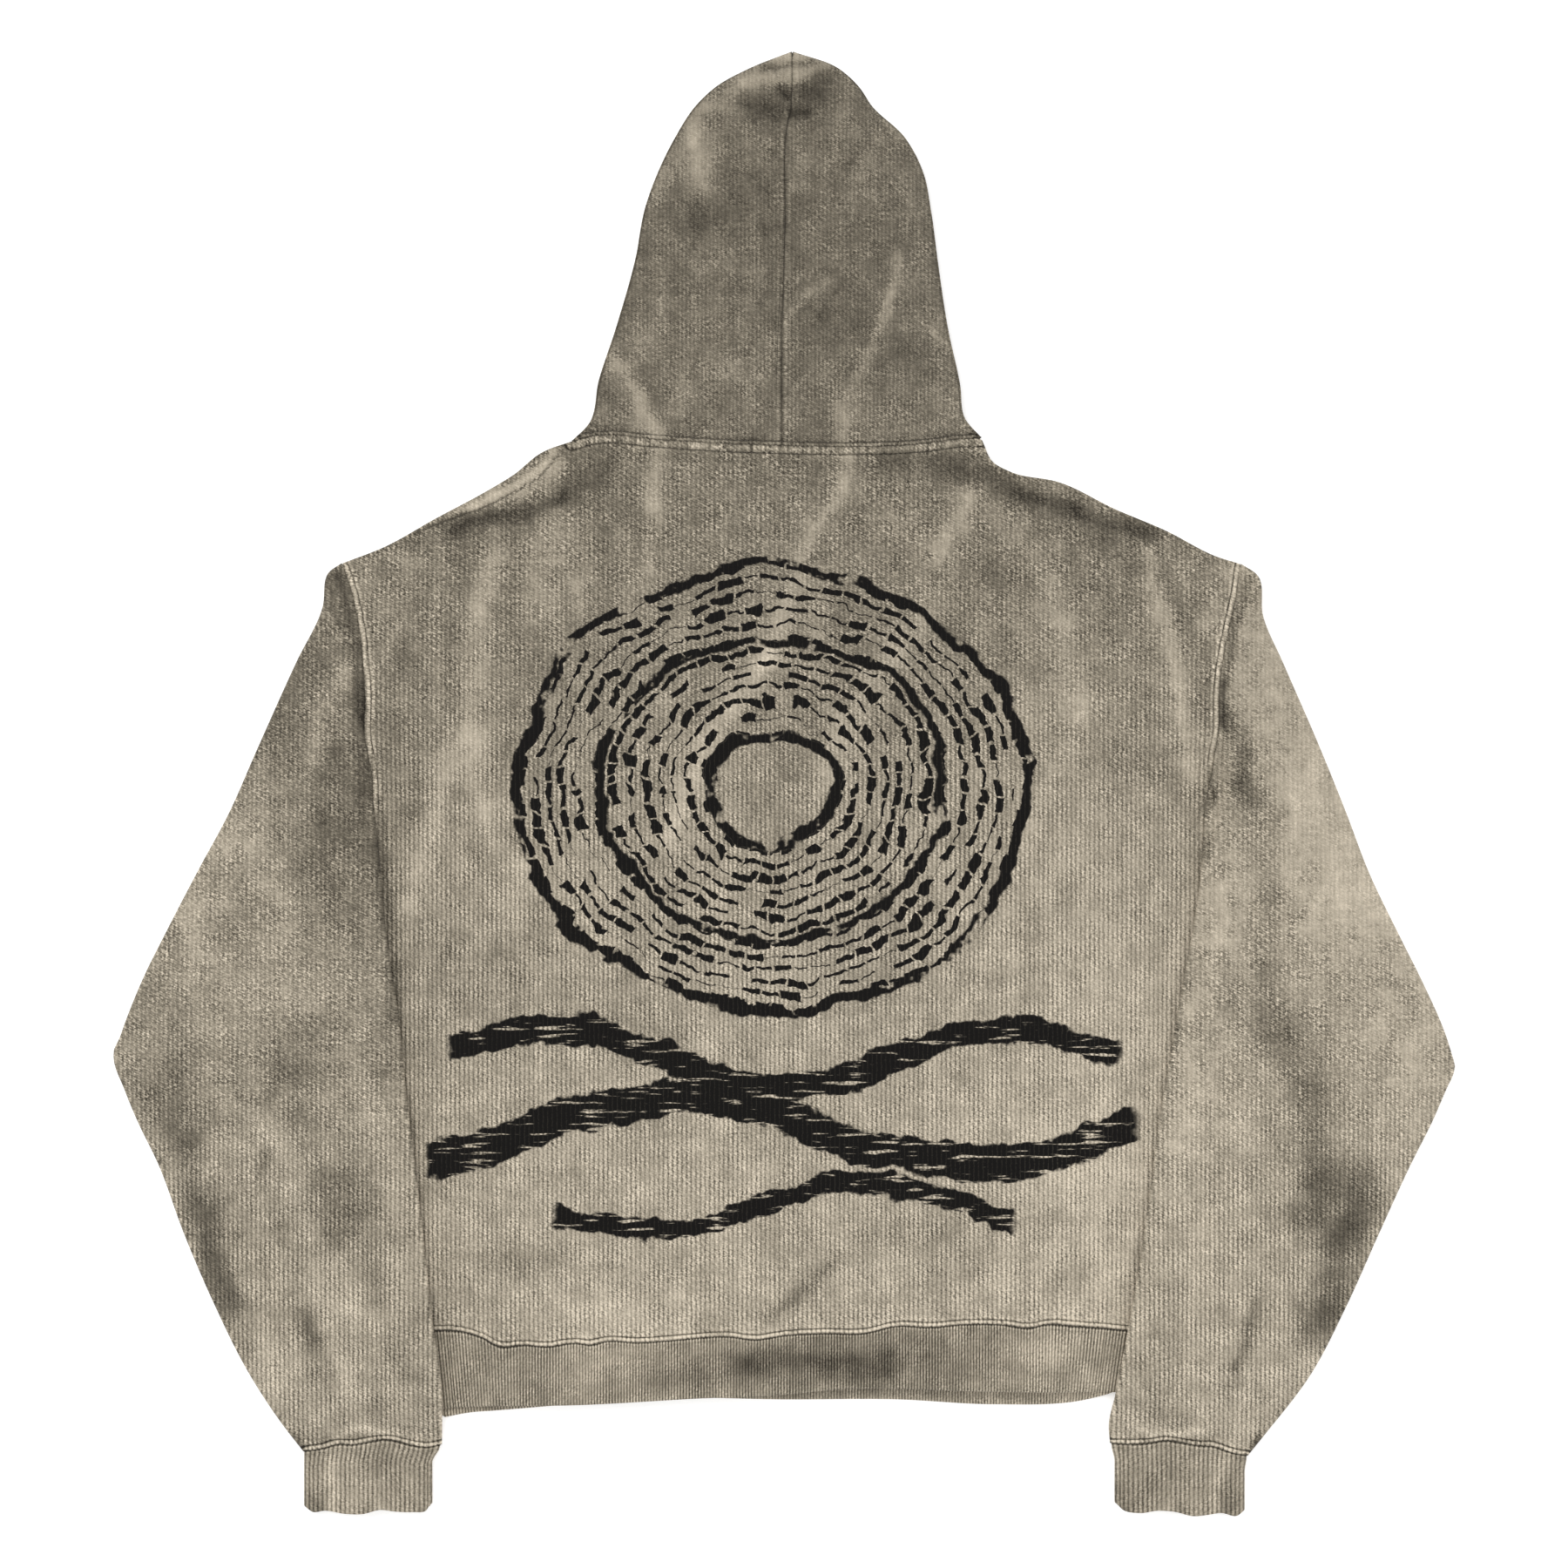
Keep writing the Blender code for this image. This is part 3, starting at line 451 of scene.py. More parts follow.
class SweatshirtColours(bpy.types.PropertyGroup):
    """Dye, thread, ink and background of the sweatshirt, in sRGB."""

    darkest: FloatVectorProperty(
        name="Darkest dye", description="Deepest valleys", subtype="COLOR_GAMMA", default=(0.17, 0.155, 0.13)
    )
    middle: FloatVectorProperty(
        name="Middle dye", description="Half faded", subtype="COLOR_GAMMA", default=(0.525, 0.494, 0.435)
    )
    lightest: FloatVectorProperty(
        name="Lightest dye", description="Most faded", subtype="COLOR_GAMMA", default=(0.90, 0.849, 0.766)
    )
    ink: FloatVectorProperty(
        name="Ink", description="Screen-print ink", subtype="COLOR_GAMMA", default=(0.066, 0.060, 0.055)
    )
    thread: FloatVectorProperty(
        name="Thread", description="Sewing thread", subtype="COLOR_GAMMA", default=(0.31, 0.285, 0.245)
    )
    floor: FloatVectorProperty(
        name="Floor", description="Background", subtype="COLOR_GAMMA", default=(0.98, 0.98, 0.98)
    )


def sizes():
    return bpy.context.scene.sweatshirt_sizes


def colours():
    return bpy.context.scene.sweatshirt_colours


# --- Lines and heights ----------------------------------------------------------------------------

SIDE_STEP = 0.001
LEVEL_SAMPLES, DISTANCE_SAMPLES, LENGTH_SAMPLES = 600, 60, 200
BATCH = 4000
LATTICE, NOISE_ORIGIN = 96, 200.0
WANDERINGS = ((30 * MM, 4.0 * MM), (11 * MM, 1.6 * MM), (5 * MM, 0.9 * MM))
WANDER_SEED, WAVE_SEEDS, CLOUD_SEEDS = 11, (21, 22), (31, 32)
MARK_SPREAD, MARK_STRENGTH, MARK_POWER = 1.22, 1.2, 2.2
STOP_GROWTH = 1.35


def metres(points):
    return np.array(points, float) * MM


def smooth(share):
    held = np.clip(share, 0.0, 1.0)
    return held * held * (3.0 - 2.0 * held)


def rounded(share):
    """Rises quickest at the edge and levels off, from 0 to 1."""
    held = np.clip(share, 0.0, 1.0)
    return held * (2.0 - held)


def fading(distance, hold, ease):
    """1 up to a distance, then down to 0 over the next stretch."""
    return smooth(1.0 - (distance - hold) / ease)


def spline(points):
    """A smooth line through a few points in millimetres, as a function of the share of its length."""
    knots = metres(points)
    steps = np.linalg.norm(np.diff(knots, axis=0), axis=1)
    along = np.concatenate([[0.0], np.cumsum(steps)]) / steps.sum()
    slopes = np.gradient(knots, along, axis=0)

    def where(share):
        share = np.asarray(share, float)
        k = np.clip(np.searchsorted(along, share, side="right") - 1, 0, len(along) - 2)
        span = (along[k + 1] - along[k])[..., None]
        t = (share - along[k])[..., None] / span
        near = (1 + 2 * t) * (1 - t) ** 2 * knots[k] + t * (1 - t) ** 2 * span * slopes[k]
        far = t * t * (3 - 2 * t) * knots[k + 1] + t * t * (t - 1) * span * slopes[k + 1]
        return near + far

    return where


def straight(start, end):
    return lambda share: start + np.asarray(share, float)[..., None] * (np.asarray(end) - start)


def chained(lines, counts):
    """Lines end to end as one, each taking the share of the whole that counts says."""
    ends = np.concatenate([[0.0], np.cumsum(counts)]) / sum(counts)

    def where(share):
        share = np.asarray(share, float)
        k = np.clip(np.searchsorted(ends, share, side="right") - 1, 0, len(lines) - 1)
        parts = [
            line(np.clip((share - ends[i]) / (ends[i + 1] - ends[i]), 0.0, 1.0))
            for i, line in enumerate(lines)
        ]
        return np.choose(k[..., None], parts)

    return where


def run_of(line, share, step):
    """The way a line runs at each share of it."""
    return line(np.minimum(share + step, 1.0)) - line(np.maximum(share - step, 0.0))


def beside(line, amount):
    """A line moved sideways, to the left of the way it runs."""

    def where(share):
        share = np.asarray(share, float)
        run = run_of(line, share, SIDE_STEP)
        left = np.stack([-run[..., 1], run[..., 0]], axis=-1)
        return line(share) + amount * left / np.linalg.norm(run, axis=-1, keepdims=True)

    return where


def levels_of(line):
    """The point of a line at each x."""
    knots = line(np.linspace(0.0, 1.0, LEVEL_SAMPLES))
    knots = knots[np.argsort(knots[:, 0])]
    return lambda x: np.stack([x, np.interp(x, knots[:, 0], knots[:, 1])], axis=-1)


def even_across(line):
    """A line whose share runs evenly across, from its first x to its last."""
    first, last, level = line(0.0)[0], line(1.0)[0], levels_of(line)
    return lambda share: level(first + np.asarray(share, float) * (last - first))


def fanned(line, foot, reach):
    """A line whose shares stand straight above those of its foot, but for a fan at each end."""
    level = levels_of(line)
    ends = [(foot(share)[0], line(share)[0]) for share in (0.0, 1.0)]

    def where(share):
        below = foot(share)[..., 0]
        fan = sum((end - low) * fading(np.abs(below - low), 0.0, reach) for low, end in ends)
        return level(below + fan)

    return where


def between(line, start, end):
    """A line pulled evenly so that it runs from start to end."""
    first, last = line(0.0), line(1.0)

    def where(share):
        share = np.asarray(share, float)[..., None]
        return line(share[..., 0]) + (1 - share) * (start - first) + share * (end - last)

    return where


def trimmed(line, start, end):
    return lambda share: line(start + (end - start) * np.asarray(share, float))


def patch(bottom, top, left, right):
    """A flat Coons patch between four lines that share their corners."""

    def where(u, v):
        over, up = u[..., None], v[..., None]
        edges = (1 - up) * bottom(u) + up * top(u) + (1 - over) * left(v) + over * right(v)
        low = (1 - over) * bottom(0.0) + over * bottom(1.0)
        high = (1 - over) * top(0.0) + over * top(1.0)
        return edges - (1 - up) * low - up * high

    return where


def length_of(line):
    points = line(np.linspace(0.0, 1.0, LENGTH_SAMPLES))
    return float(np.linalg.norm(np.diff(points, axis=0), axis=1).sum())


def distance_along(runs, points):
    """How far each point is from the nearest of some polylines."""
    start = np.concatenate([run[:-1] for run in runs])
    step = np.concatenate([np.diff(run, axis=0) for run in runs])
    reach = np.maximum((step**2).sum(axis=1), 1e-12)
    flat = points.reshape(-1, 2)
    nearest = np.empty(len(flat))
    for first in range(0, len(flat), BATCH):
        batch = slice(first, first + BATCH)
        rel = flat[batch, None, :] - start
        share = np.clip((rel * step).sum(axis=2) / reach, 0.0, 1.0)
        nearest[batch] = np.linalg.norm(rel - share[..., None] * step, axis=2).min(axis=1)
    return nearest.reshape(points.shape[:-1])


def distance_to(*lines):
    runs = [line(np.linspace(0.0, 1.0, DISTANCE_SAMPLES)) for line in lines]
    return lambda points: distance_along(runs, points)


def soft_noise(points, size, seed):
    """Even, rounded bumps about size across, from -1 to 1."""
    lattice = np.random.default_rng(seed).uniform(-1.0, 1.0, (LATTICE, LATTICE))
    cell = points / size + NOISE_ORIGIN
    base = np.floor(cell).astype(int)
    part = smooth(cell - base)
    x0, y0 = base[..., 0] % LATTICE, base[..., 1] % LATTICE
    x1, y1 = (x0 + 1) % LATTICE, (y0 + 1) % LATTICE
    low = lattice[x0, y0] * (1 - part[..., 0]) + lattice[x1, y0] * part[..., 0]
    high = lattice[x0, y1] * (1 - part[..., 0]) + lattice[x1, y1] * part[..., 0]
    return low * (1 - part[..., 1]) + high * part[..., 1]


def marked(points, marks):
    """The tone, partly painted shade and light, and the rise that a list of marks gives at each point, their
    edges wandering a little.
    """
    wander = np.zeros(points.shape)
    for k, (size, reach) in enumerate(WANDERINGS):
        for axis in (0, 1):
            wander[..., axis] += reach * soft_noise(points, size, WANDER_SEED + 2 * k + axis)
    tone, rise = np.zeros(points.shape[:-1]), np.zeros(points.shape[:-1])
    for shade, half_width, height, line in marks:
        away = distance_along([metres(line)], points + wander) / (half_width * MARK_SPREAD * MM)
        strength = np.exp(-(away**MARK_POWER))
        tone += MARK_STRENGTH * shade * strength
        rise += height * MM * strength
    return tone, rise


def welt(distance, profile):
    """Tone, which is painted shade and light, and rise across a seam."""
    tone, rise = np.zeros(distance.shape), np.zeros(distance.shape)
    for at, half_width, height, shade in profile:
        strength = np.exp(-(((distance / MM - at) / half_width) ** 2))
        tone += shade * strength
        rise += height * MM * strength
    return tone, rise


def stops(length, coarse, fine, band):
    """Shares of a length, fine near both ends and coarse between."""
    near = np.arange(0.0, band, fine)
    gap = []
    at, step = band, fine
    while at < length / 2 and step < coarse:
        gap.append(at)
        step = min(step * STOP_GROWTH, coarse)
        at += step
    start = np.concatenate([near, gap])
    count = max(int(round((length - 2 * at) / coarse)), 1)
    middle = np.linspace(at, length - at, count + 1)
    return np.concatenate([start, middle, length - start[::-1]]) / length


def grid(us, vs):
    v, u = np.meshgrid(vs, us, indexing="ij")
    return u, v


# --- How the cloth lies ---------------------------------------------------------------------------

SEAM_GAP = 0.1 * MM
EDGE_STACK = 2.5 * MM
SWELL_WIDTH, SLEEVE_SWELL_WIDTH, RIB_SWELL_WIDTH = 80 * MM, 60 * MM, 55 * MM
FOLD_RADIUS, RIB_FOLD_RADIUS, HOOD_FOLD_RADIUS = 2.2 * MM, 1.8 * MM, 2.9 * MM
EDGE_CURL, EDGE_CURL_WIDTH = 1.2 * MM, 4.0 * MM
SIDE_INSET, SHOULDER_INSET = 18 * MM, 4 * MM
HEM_SINK, HEM_SINK_WIDTH = 1.9 * MM, 60 * MM
HOOD_LIFT, HOOD_LIFT_HOLD, HOOD_LIFT_EASE = 3.2 * MM, 12 * MM, 35 * MM
BODY_SLACK, SLEEVE_SLACK, HOOD_SLACK = 1.6 * MM, 1.5 * MM, 1.8 * MM
POCKET_ROOM, POCKET_HOLD, POCKET_OPEN_HOLD, POCKET_EASE = 4.9 * MM, 28 * MM, 14 * MM, 40 * MM
TONE_LEVELS = [-450, -250, -100, 20, 120, 200, 260]
BODY_TONES = [0.645, 0.625, 0.578, 0.525, 0.495, 0.46, 0.44]

to_sides = distance_to(spline(SIDE_LEFT), spline(SIDE_RIGHT))
to_shoulders = distance_to(spline(SHOULDER_LEFT), spline(SHOULDER_RIGHT))
to_hem = distance_to(spline(HEM_SEAM))
to_neck = distance_to(spline(BACK_NECK))
to_armholes = distance_to(spline(ARMHOLE_LEFT), spline(ARMHOLE_RIGHT))
to_front_neck = distance_to(spline(FRONT_NECK))
to_centre = distance_to(spline(HOOD_CENTRE))


def curl(distance):
    """1 at an edge that turns down to meet the layer under it, 0 a few millimetres in."""
    share = np.clip(distance / EDGE_CURL_WIDTH, 0.0, 1.0)
    return 1.0 - np.sqrt(1.0 - (1.0 - share) ** 2 * 0.999)


def undulation(points, depth):
    """The slack of cloth that has been laid down by hand."""
    long_waves = soft_noise(points * [1.0, 0.55], 55 * MM, WAVE_SEEDS[0])
    short_waves = soft_noise(points * [1.0, 0.7], 24 * MM, WAVE_SEEDS[1])
    return depth * (0.75 * long_waves + 0.35 * short_waves)


def back_height(points):
    """The middle of the back's cloth: low at the side and shoulder seams, level over the chest."""
    edge = np.minimum(to_sides(points) - SIDE_INSET, to_shoulders(points) - SHOULDER_INSET)
    swell = sizes().body_swell - HEM_SINK * fading(to_hem(points), 0.0, HEM_SINK_WIDTH)
    corners = [np.linalg.norm(points - metres(BACK_NECK[end]), axis=-1) for end in (0, -1)]
    over_hood = HOOD_LIFT * fading(np.min(corners, axis=0), HOOD_LIFT_HOLD, HOOD_LIFT_EASE)
    height = sizes().fabric / 2 + EDGE_STACK + np.maximum(over_hood, swell * rounded(edge / SWELL_WIDTH))
    slack = smooth(edge / (45 * MM)) * smooth(to_hem(points) / (40 * MM))
    return height + slack * undulation(points, BODY_SLACK)


def front_height(points):
    """The middle of the front's cloth: on the floor, and lifted where it lies over the pocket."""
    beyond_side = np.abs(points[..., 0]) - POCKET_HALF_WIDTH * MM
    beyond_top = points[..., 1] - POCKET_TOP * MM
    above_bottom = points[..., 1] - POCKET_BOTTOM * MM
    laid_over = fading(beyond_side, POCKET_HOLD, POCKET_EASE) * fading(beyond_top, POCKET_HOLD, POCKET_EASE)
    opened = fading(beyond_side, POCKET_OPEN_HOLD, POCKET_EASE) * smooth(above_bottom / POCKET_EASE)
    opened = opened * smooth(-beyond_top / POCKET_EASE)
    fabric = sizes().fabric
    return fabric / 2 + EDGE_STACK * laid_over + (fabric + POCKET_ROOM - EDGE_STACK) * opened


def base_tone(points):
    """How light the wash has left the body at each place, from 0 to 1."""
    x, y = points[..., 0] / MM, points[..., 1] / MM
    tone = np.interp(y, TONE_LEVELS, BODY_TONES)
    return tone + 0.05 * smooth((x - 60) / 160) * fading(y + 60, 60, 160) - 0.03 * smooth(-(x + 160) / 90)


def clouded(points, tone):
    """Adds the blotches that the stone wash leaves."""
    tall = points * [1.0, 0.42]
    broad, small = soft_noise(tall, 45 * MM, CLOUD_SEEDS[0]), soft_noise(tall, 19 * MM, CLOUD_SEEDS[1])
    return tone + (0.034 * broad + 0.025 * small)


# --- Cloth ----------------------------------------------------------------------------------------

WELD = 0.02 * MM
SHARP_ANGLE = math.radians(50.0)


def fresh_mesh(name, points, faces, uvs, fields):
    """A mesh from arrays: points, quads, a UV for each quad's corner, and a value for each point."""
    mesh = bpy.data.meshes.new(name)
    mesh.vertices.add(len(points))
    mesh.vertices.foreach_set("co", np.ascontiguousarray(points, np.float32).ravel())
    mesh.loops.add(faces.size)
    mesh.loops.foreach_set("vertex_index", np.ascontiguousarray(faces, np.int32).ravel())
    mesh.polygons.add(len(faces))
    mesh.polygons.foreach_set("loop_start", np.arange(len(faces), dtype=np.int32) * 4)
    mesh.update(calc_edges=True)
    layer = mesh.uv_layers.new(name="cloth")
    layer.data.foreach_set("uv", np.ascontiguousarray(uvs, np.float32).ravel())
    for field, values in fields.items():
        made = mesh.attributes.new(field, "FLOAT", "POINT")
        made.data.foreach_set("value", np.ascontiguousarray(values, np.float32).ravel())
    mesh.validate()
    return linked(name, mesh)


def linked(name, mesh):
    piece = bpy.data.objects.new(name, mesh)
    bpy.context.scene.collection.objects.link(piece)
    return piece


def quads(rows, cols, closed, flip):
    """Corner indices of a grid's faces, and of the same corners in a grid with its last column kept."""
    r, c = np.meshgrid(np.arange(rows - 1), np.arange(cols if closed else cols - 1), indexing="ij")
    r, c = r.ravel(), c.ravel()
    after = (c + 1) % cols
    faces = np.stack([r * cols + c, r * cols + after, (r + 1) * cols + after, (r + 1) * cols + c], axis=1)
    wide = cols + 1 if closed else cols
    corners = np.stack([r * wide + c, r * wide + c + 1, (r + 1) * wide + c + 1, (r + 1) * wide + c], axis=1)
    return (faces[:, ::-1], corners[:, ::-1]) if flip else (faces, corners)


def laid(name, points, uv, fields, flip=False, closed=False):
    rows, cols = points.shape[:2]
    faces, corners = quads(rows, cols, closed, flip)
    return fresh_mesh(name, points.reshape(-1, 3), faces, uv.reshape(-1, 2)[corners], fields)


def select_only(piece):
    bpy.ops.object.select_all(action="DESELECT")
    bpy.context.view_layer.objects.active = piece
    piece.select_set(True)


def apply_modifiers(piece):
    select_only(piece)
    for modifier in list(piece.modifiers):
        bpy.ops.object.modifier_apply(modifier=modifier.name)
    piece.select_set(False)


def thicken(piece, thickness):
    """Gives cloth its thickness, half to each side, and closes it."""
    merge = piece.modifiers.new("Weld", "WELD")
    merge.merge_threshold = WELD
    solid = piece.modifiers.new("Thickness", "SOLIDIFY")
    solid.thickness = thickness
    solid.offset = 0.0
    apply_modifiers(piece)
    piece.data.shade_smooth()
    piece.data.set_sharp_from_angle(angle=SHARP_ANGLE)


def finished(piece, material, nodes=()):
    """Gives a piece its material, puts it under the body's root and hides the parts that it stands for."""
    piece.data.materials.clear()
    piece.data.materials.append(material)
    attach(piece, "root")
    if nodes:
        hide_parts(*nodes)
    return piece


def at_height(flat, height):
    return np.concatenate([flat, height[..., None]], axis=-1)


def word_for(side):
    return "left" if side < 0 else "right"


# --- Body -----------------------------------------------------------------------------------------

SIDE_COUNTS, TOP_COUNTS = [12, 6], [5, 10, 5]
BACK_MESH = ((0.60, 3.4 * MM, 0.8 * MM, 9 * MM), (0.63, 3.4 * MM, 0.75 * MM, 10 * MM))
FRONT_MESH = (0.60, 6 * MM, 1.2 * MM, 6 * MM)


def body_flat(neck):
    left = chained([spline(SIDE_LEFT), spline(ARMHOLE_LEFT)], SIDE_COUNTS)
    right = chained([spline(SIDE_RIGHT), spline(ARMHOLE_RIGHT)], SIDE_COUNTS)
    top = chained([spline(SHOULDER_LEFT), spline(neck), spline(SHOULDER_RIGHT)], TOP_COUNTS)
    return patch(spline(HEM_SEAM), top, left, right)


def shoulder_roll(points):
    """Tone and rise along the seam that has rolled over to the back at the left shoulder."""
    line, x = metres(SHOULDER_ROLL), points[..., 0]
    away = distance_along([line], points)
    above = points[..., 1] > np.interp(x, line[::-1, 0], line[::-1, 1])
    beyond = (x < line[-1, 0]) | (x > line[0, 0])
    return welt(np.where(beyond, 1.0, np.where(above, -away, away)), ROLL_WELT)


def back_surface(points):
    """Height and tone of the back, with its seams and folds."""
    tone, rise = marked(points, BODY_MARKS)
    rolled, up = shoulder_roll(points)
    tone, rise = clouded(points, base_tone(points) + tone) + rolled, rise + up
    for distance, profile in ((to_neck, NECK_WELT), (to_armholes, ARMHOLE_WELT), (to_hem, HEM_WELT)):
        rise = rise + welt(distance(points), profile)[1]
    edge = np.minimum(to_sides(points), to_shoulders(points))
    height = back_height(points) + rise * smooth(edge / (6 * MM)) - EDGE_CURL * curl(edge)
    return height, tone


def build_back():
    points = body_flat(BACK_NECK)(*grid(*[stops(*mesh) for mesh in BACK_MESH]))
    height, tone = back_surface(points)
    fields = {
        "tone": tone,
        "to_neck": to_neck(points) / MM,
        "to_armhole": to_armholes(points) / MM,
        "to_hem": to_hem(points) / MM,
    }
    piece = laid("back_cloth", at_height(points, height), points, fields)
    thicken(piece, sizes().fabric)
    seams = {"to_neck": NECK_WELT, "to_armhole": ARMHOLE_WELT, "to_hem": HEM_WELT}
    return finished(
        piece,
        knit("washed_knit_back", seams, printed=True),
        ["back_panel"],
    )


def build_front():
    shares = stops(*FRONT_MESH)
    points = body_flat(FRONT_NECK)(*grid(shares, shares))
    edge = np.minimum(to_sides(points), to_shoulders(points))
    height = front_height(points) + EDGE_CURL * curl(edge)
    marks = [(tone, width, 0, [(-x, y) for x, y in line]) for tone, width, _, line in BODY_MARKS]
    tone = clouded(points, base_tone(points) + marked(points, marks)[0])
    for distance, profile in ((to_armholes, ARMHOLE_WELT), (to_hem, HEM_WELT), (to_front_neck, NECK_WELT)):
        tone = tone + welt(distance(points), profile)[0]
    piece = laid("front_cloth", at_height(points, height), points, {"tone": tone})
    thicken(piece, sizes().fabric)
    return finished(
        piece,
        knit("washed_knit_front", {}),
        ["front_panel"],
    )


# --- Sleeves --------------------------------------------------------------------------------------

SLEEVE_STOPS = (0.50, 3.4 * MM, 0.8 * MM, 8 * MM)
SLEEVE_SPAN, SLEEVE_TOP_COUNT, SLEEVE_FOLD_COUNT = 0.15, 56, 7
SLEEVE_TONES = {-1: (0.37, 0.585, 0.605), 1: (0.61, 0.68, 0.61)}
SLEEVE_TONES_AT = [0.0, 0.3, 0.9]
INNER_LIFT, WRIST_LIFT, LIFT_WIDTH = 5.6 * MM, 2.1 * MM, 20 * MM
WRIST_SINK = 3 * MM
SLEEVE_GAP, SLEEVE_ROOM = 0.3 * MM, 2.8 * MM


def flat_tube(radius, there, back, turn):
    """Stops round a flat tube: share of the width, distance past it, height from the folds' middle."""
    along = [(t, 0.0, radius) for t in there]
    along += [(1.0, radius * math.sin(a), radius * math.cos(a)) for a in turn]
    along += [(t, 0.0, -radius) for t in back]
    along += [(0.0, -radius * math.sin(a), -radius * math.cos(a)) for a in turn]
    return np.array(along).T


def sleeve_lines(side):
    armhole, inner, outer, cuff_seam = [
        spline(line[side]) for line in (ARMHOLE, SLEEVE_INNER, SLEEVE_OUTER, CUFF_SEAM)
    ]
    half = sizes().fabric / 2
    start = beside(armhole, -side * SEAM_GAP)
    inner_fold, outer_fold = beside(inner, side * (half + SEAM_GAP)), beside(outer, -side * half)
    armpit, tip = inner_fold(0.0), start(1.0) + np.array([side * SLEEVE_GAP, 0.0])
    start = between(start, armpit, tip)
    inner_fold = between(inner_fold, armpit, cuff_seam(0.0))
    outer_fold = between(outer_fold, tip, cuff_seam(1.0))
    return start, cuff_seam, inner_fold, outer_fold


def sleeve_height(points, v, up, to_inner, edge, rise):
    """Height all round a sleeve, whose inner fold lies on the body and whose head joins the back."""
    lift = smooth((v - 0.05) / 0.07) * smooth((1.0 - v) / 0.075) * fading(to_inner, LIFT_WIDTH, LIFT_WIDTH)
    bottom = sizes().fabric / 2 + lift * (INNER_LIFT + WRIST_LIFT * smooth((v - 0.65) / 0.12))
    swell = sizes().sleeve_swell - WRIST_SINK * smooth((v - 0.7) / 0.3)
    top = bottom + 2 * FOLD_RADIUS + swell * rounded(edge / SLEEVE_SWELL_WIDTH)
    top = top + fading(v, 0.0, 0.12) * (back_height(points) - top)
    room = SLEEVE_ROOM * fading(edge, FOLD_RADIUS, 3 * FOLD_RADIUS) * smooth(v / 0.03)
    top = np.maximum(top, bottom + sizes().fabric + SLEEVE_GAP + room)
    slack = smooth(edge / (22 * MM)) * smooth(v / 0.1) * smooth((1 - v) / 0.05)
    top = top + rise * smooth(edge / (8 * MM)) + slack * undulation(points, SLEEVE_SLACK)
    topness = smooth((up / FOLD_RADIUS + 1.0) / 2.0)
    round_fold = bottom + FOLD_RADIUS + up + topness * (top - bottom - 2 * FOLD_RADIUS)
    return np.where(up == FOLD_RADIUS, top, round_fold)


def build_sleeve(side):
    start, cuff_seam, inner_fold, outer_fold = sleeve_lines(side)
    coarse = SLEEVE_SPAN / SLEEVE_TOP_COUNT
    there = stops(SLEEVE_SPAN, coarse, coarse / 2, 4 * MM)
    turn = np.linspace(0.0, np.pi, SLEEVE_FOLD_COUNT + 2)[1:-1]
    share, past, up = flat_tube(FOLD_RADIUS, there, there[::-1], turn)
    vs = stops(*SLEEVE_STOPS)
    width = np.linalg.norm(outer_fold(vs) - inner_fold(vs), axis=-1)[:, None]
    across = FOLD_RADIUS / width + share * (1 - 2 * FOLD_RADIUS / width) + past / width
    v = np.repeat(vs[:, None], len(share), axis=1)
    points = patch(start, cuff_seam, inner_fold, outer_fold)(across, v)
    to_inner, to_cuff = distance_to(inner_fold)(points), distance_to(cuff_seam)(points)
    edge = np.minimum(to_inner, distance_to(outer_fold)(points))
    tone, rise = marked(points, SLEEVE_MARKS)
    shade, head = welt(distance_to(start)(points), SLEEVE_HEAD)
    rise = rise + head + welt(to_cuff, HEM_WELT)[1]
    height = sleeve_height(points, v, up, to_inner, edge, rise)
    tone = clouded(points, tone + shade + np.interp(v, SLEEVE_TONES_AT, SLEEVE_TONES[side]))
    uv = np.concatenate([points, points[:, :1]], axis=1)
    fields = {"tone": tone, "to_hem": to_cuff / MM}
    word = word_for(side)
    piece = laid("sleeve_cloth_" + word, at_height(points, height), uv, fields, flip=side > 0, closed=True)
    thicken(piece, sizes().fabric)
    return finished(
        piece,
        knit("washed_knit_sleeve", {"to_hem": HEM_WELT}, columns=(-0.16, -0.42)),
        ["sleeve_" + word + layer for layer in ("_back", "_front")],
    )


# --- Ribs -----------------------------------------------------------------------------------------

PER_RIB = 5
LIP_STEPS = 5
RIB_HEIGHT = 48 * MM
RIB_ROWS = np.concatenate([np.linspace(0.0, 0.94, 11), [0.97, 1.0]])
RIB_SLACK, RIB_SLACK_SIZE, RIB_SEEDS = 0.5 * MM, 28 * MM, (41, 43)
EDGE_BLEND = 8 * MM
# Painted light on the lower half of a band's tube, whose edge shows in shade under the upper layer.
UNDER_TONE = 0.08
HEM_TONE, HEM_TONE_GAIN, HEM_GAIN_FROM, HEM_GAIN_OVER = 0.555, 0.02, 100 * MM, 140 * MM
HEM_FAN = 70 * MM
CUFF_TONE, CUFF_TONE_LOSS = 0.57, 0.05
# How far a band swells, how far in that starts, the share of its height over which it takes its edge's
# width, and how strongly painted shade darkens its valleys.
HEM_FORM, CUFF_FORM = (10.6 * MM, 15 * MM, 1.0, 0.22), (8.0 * MM, 0.0, 0.3, 0.105)


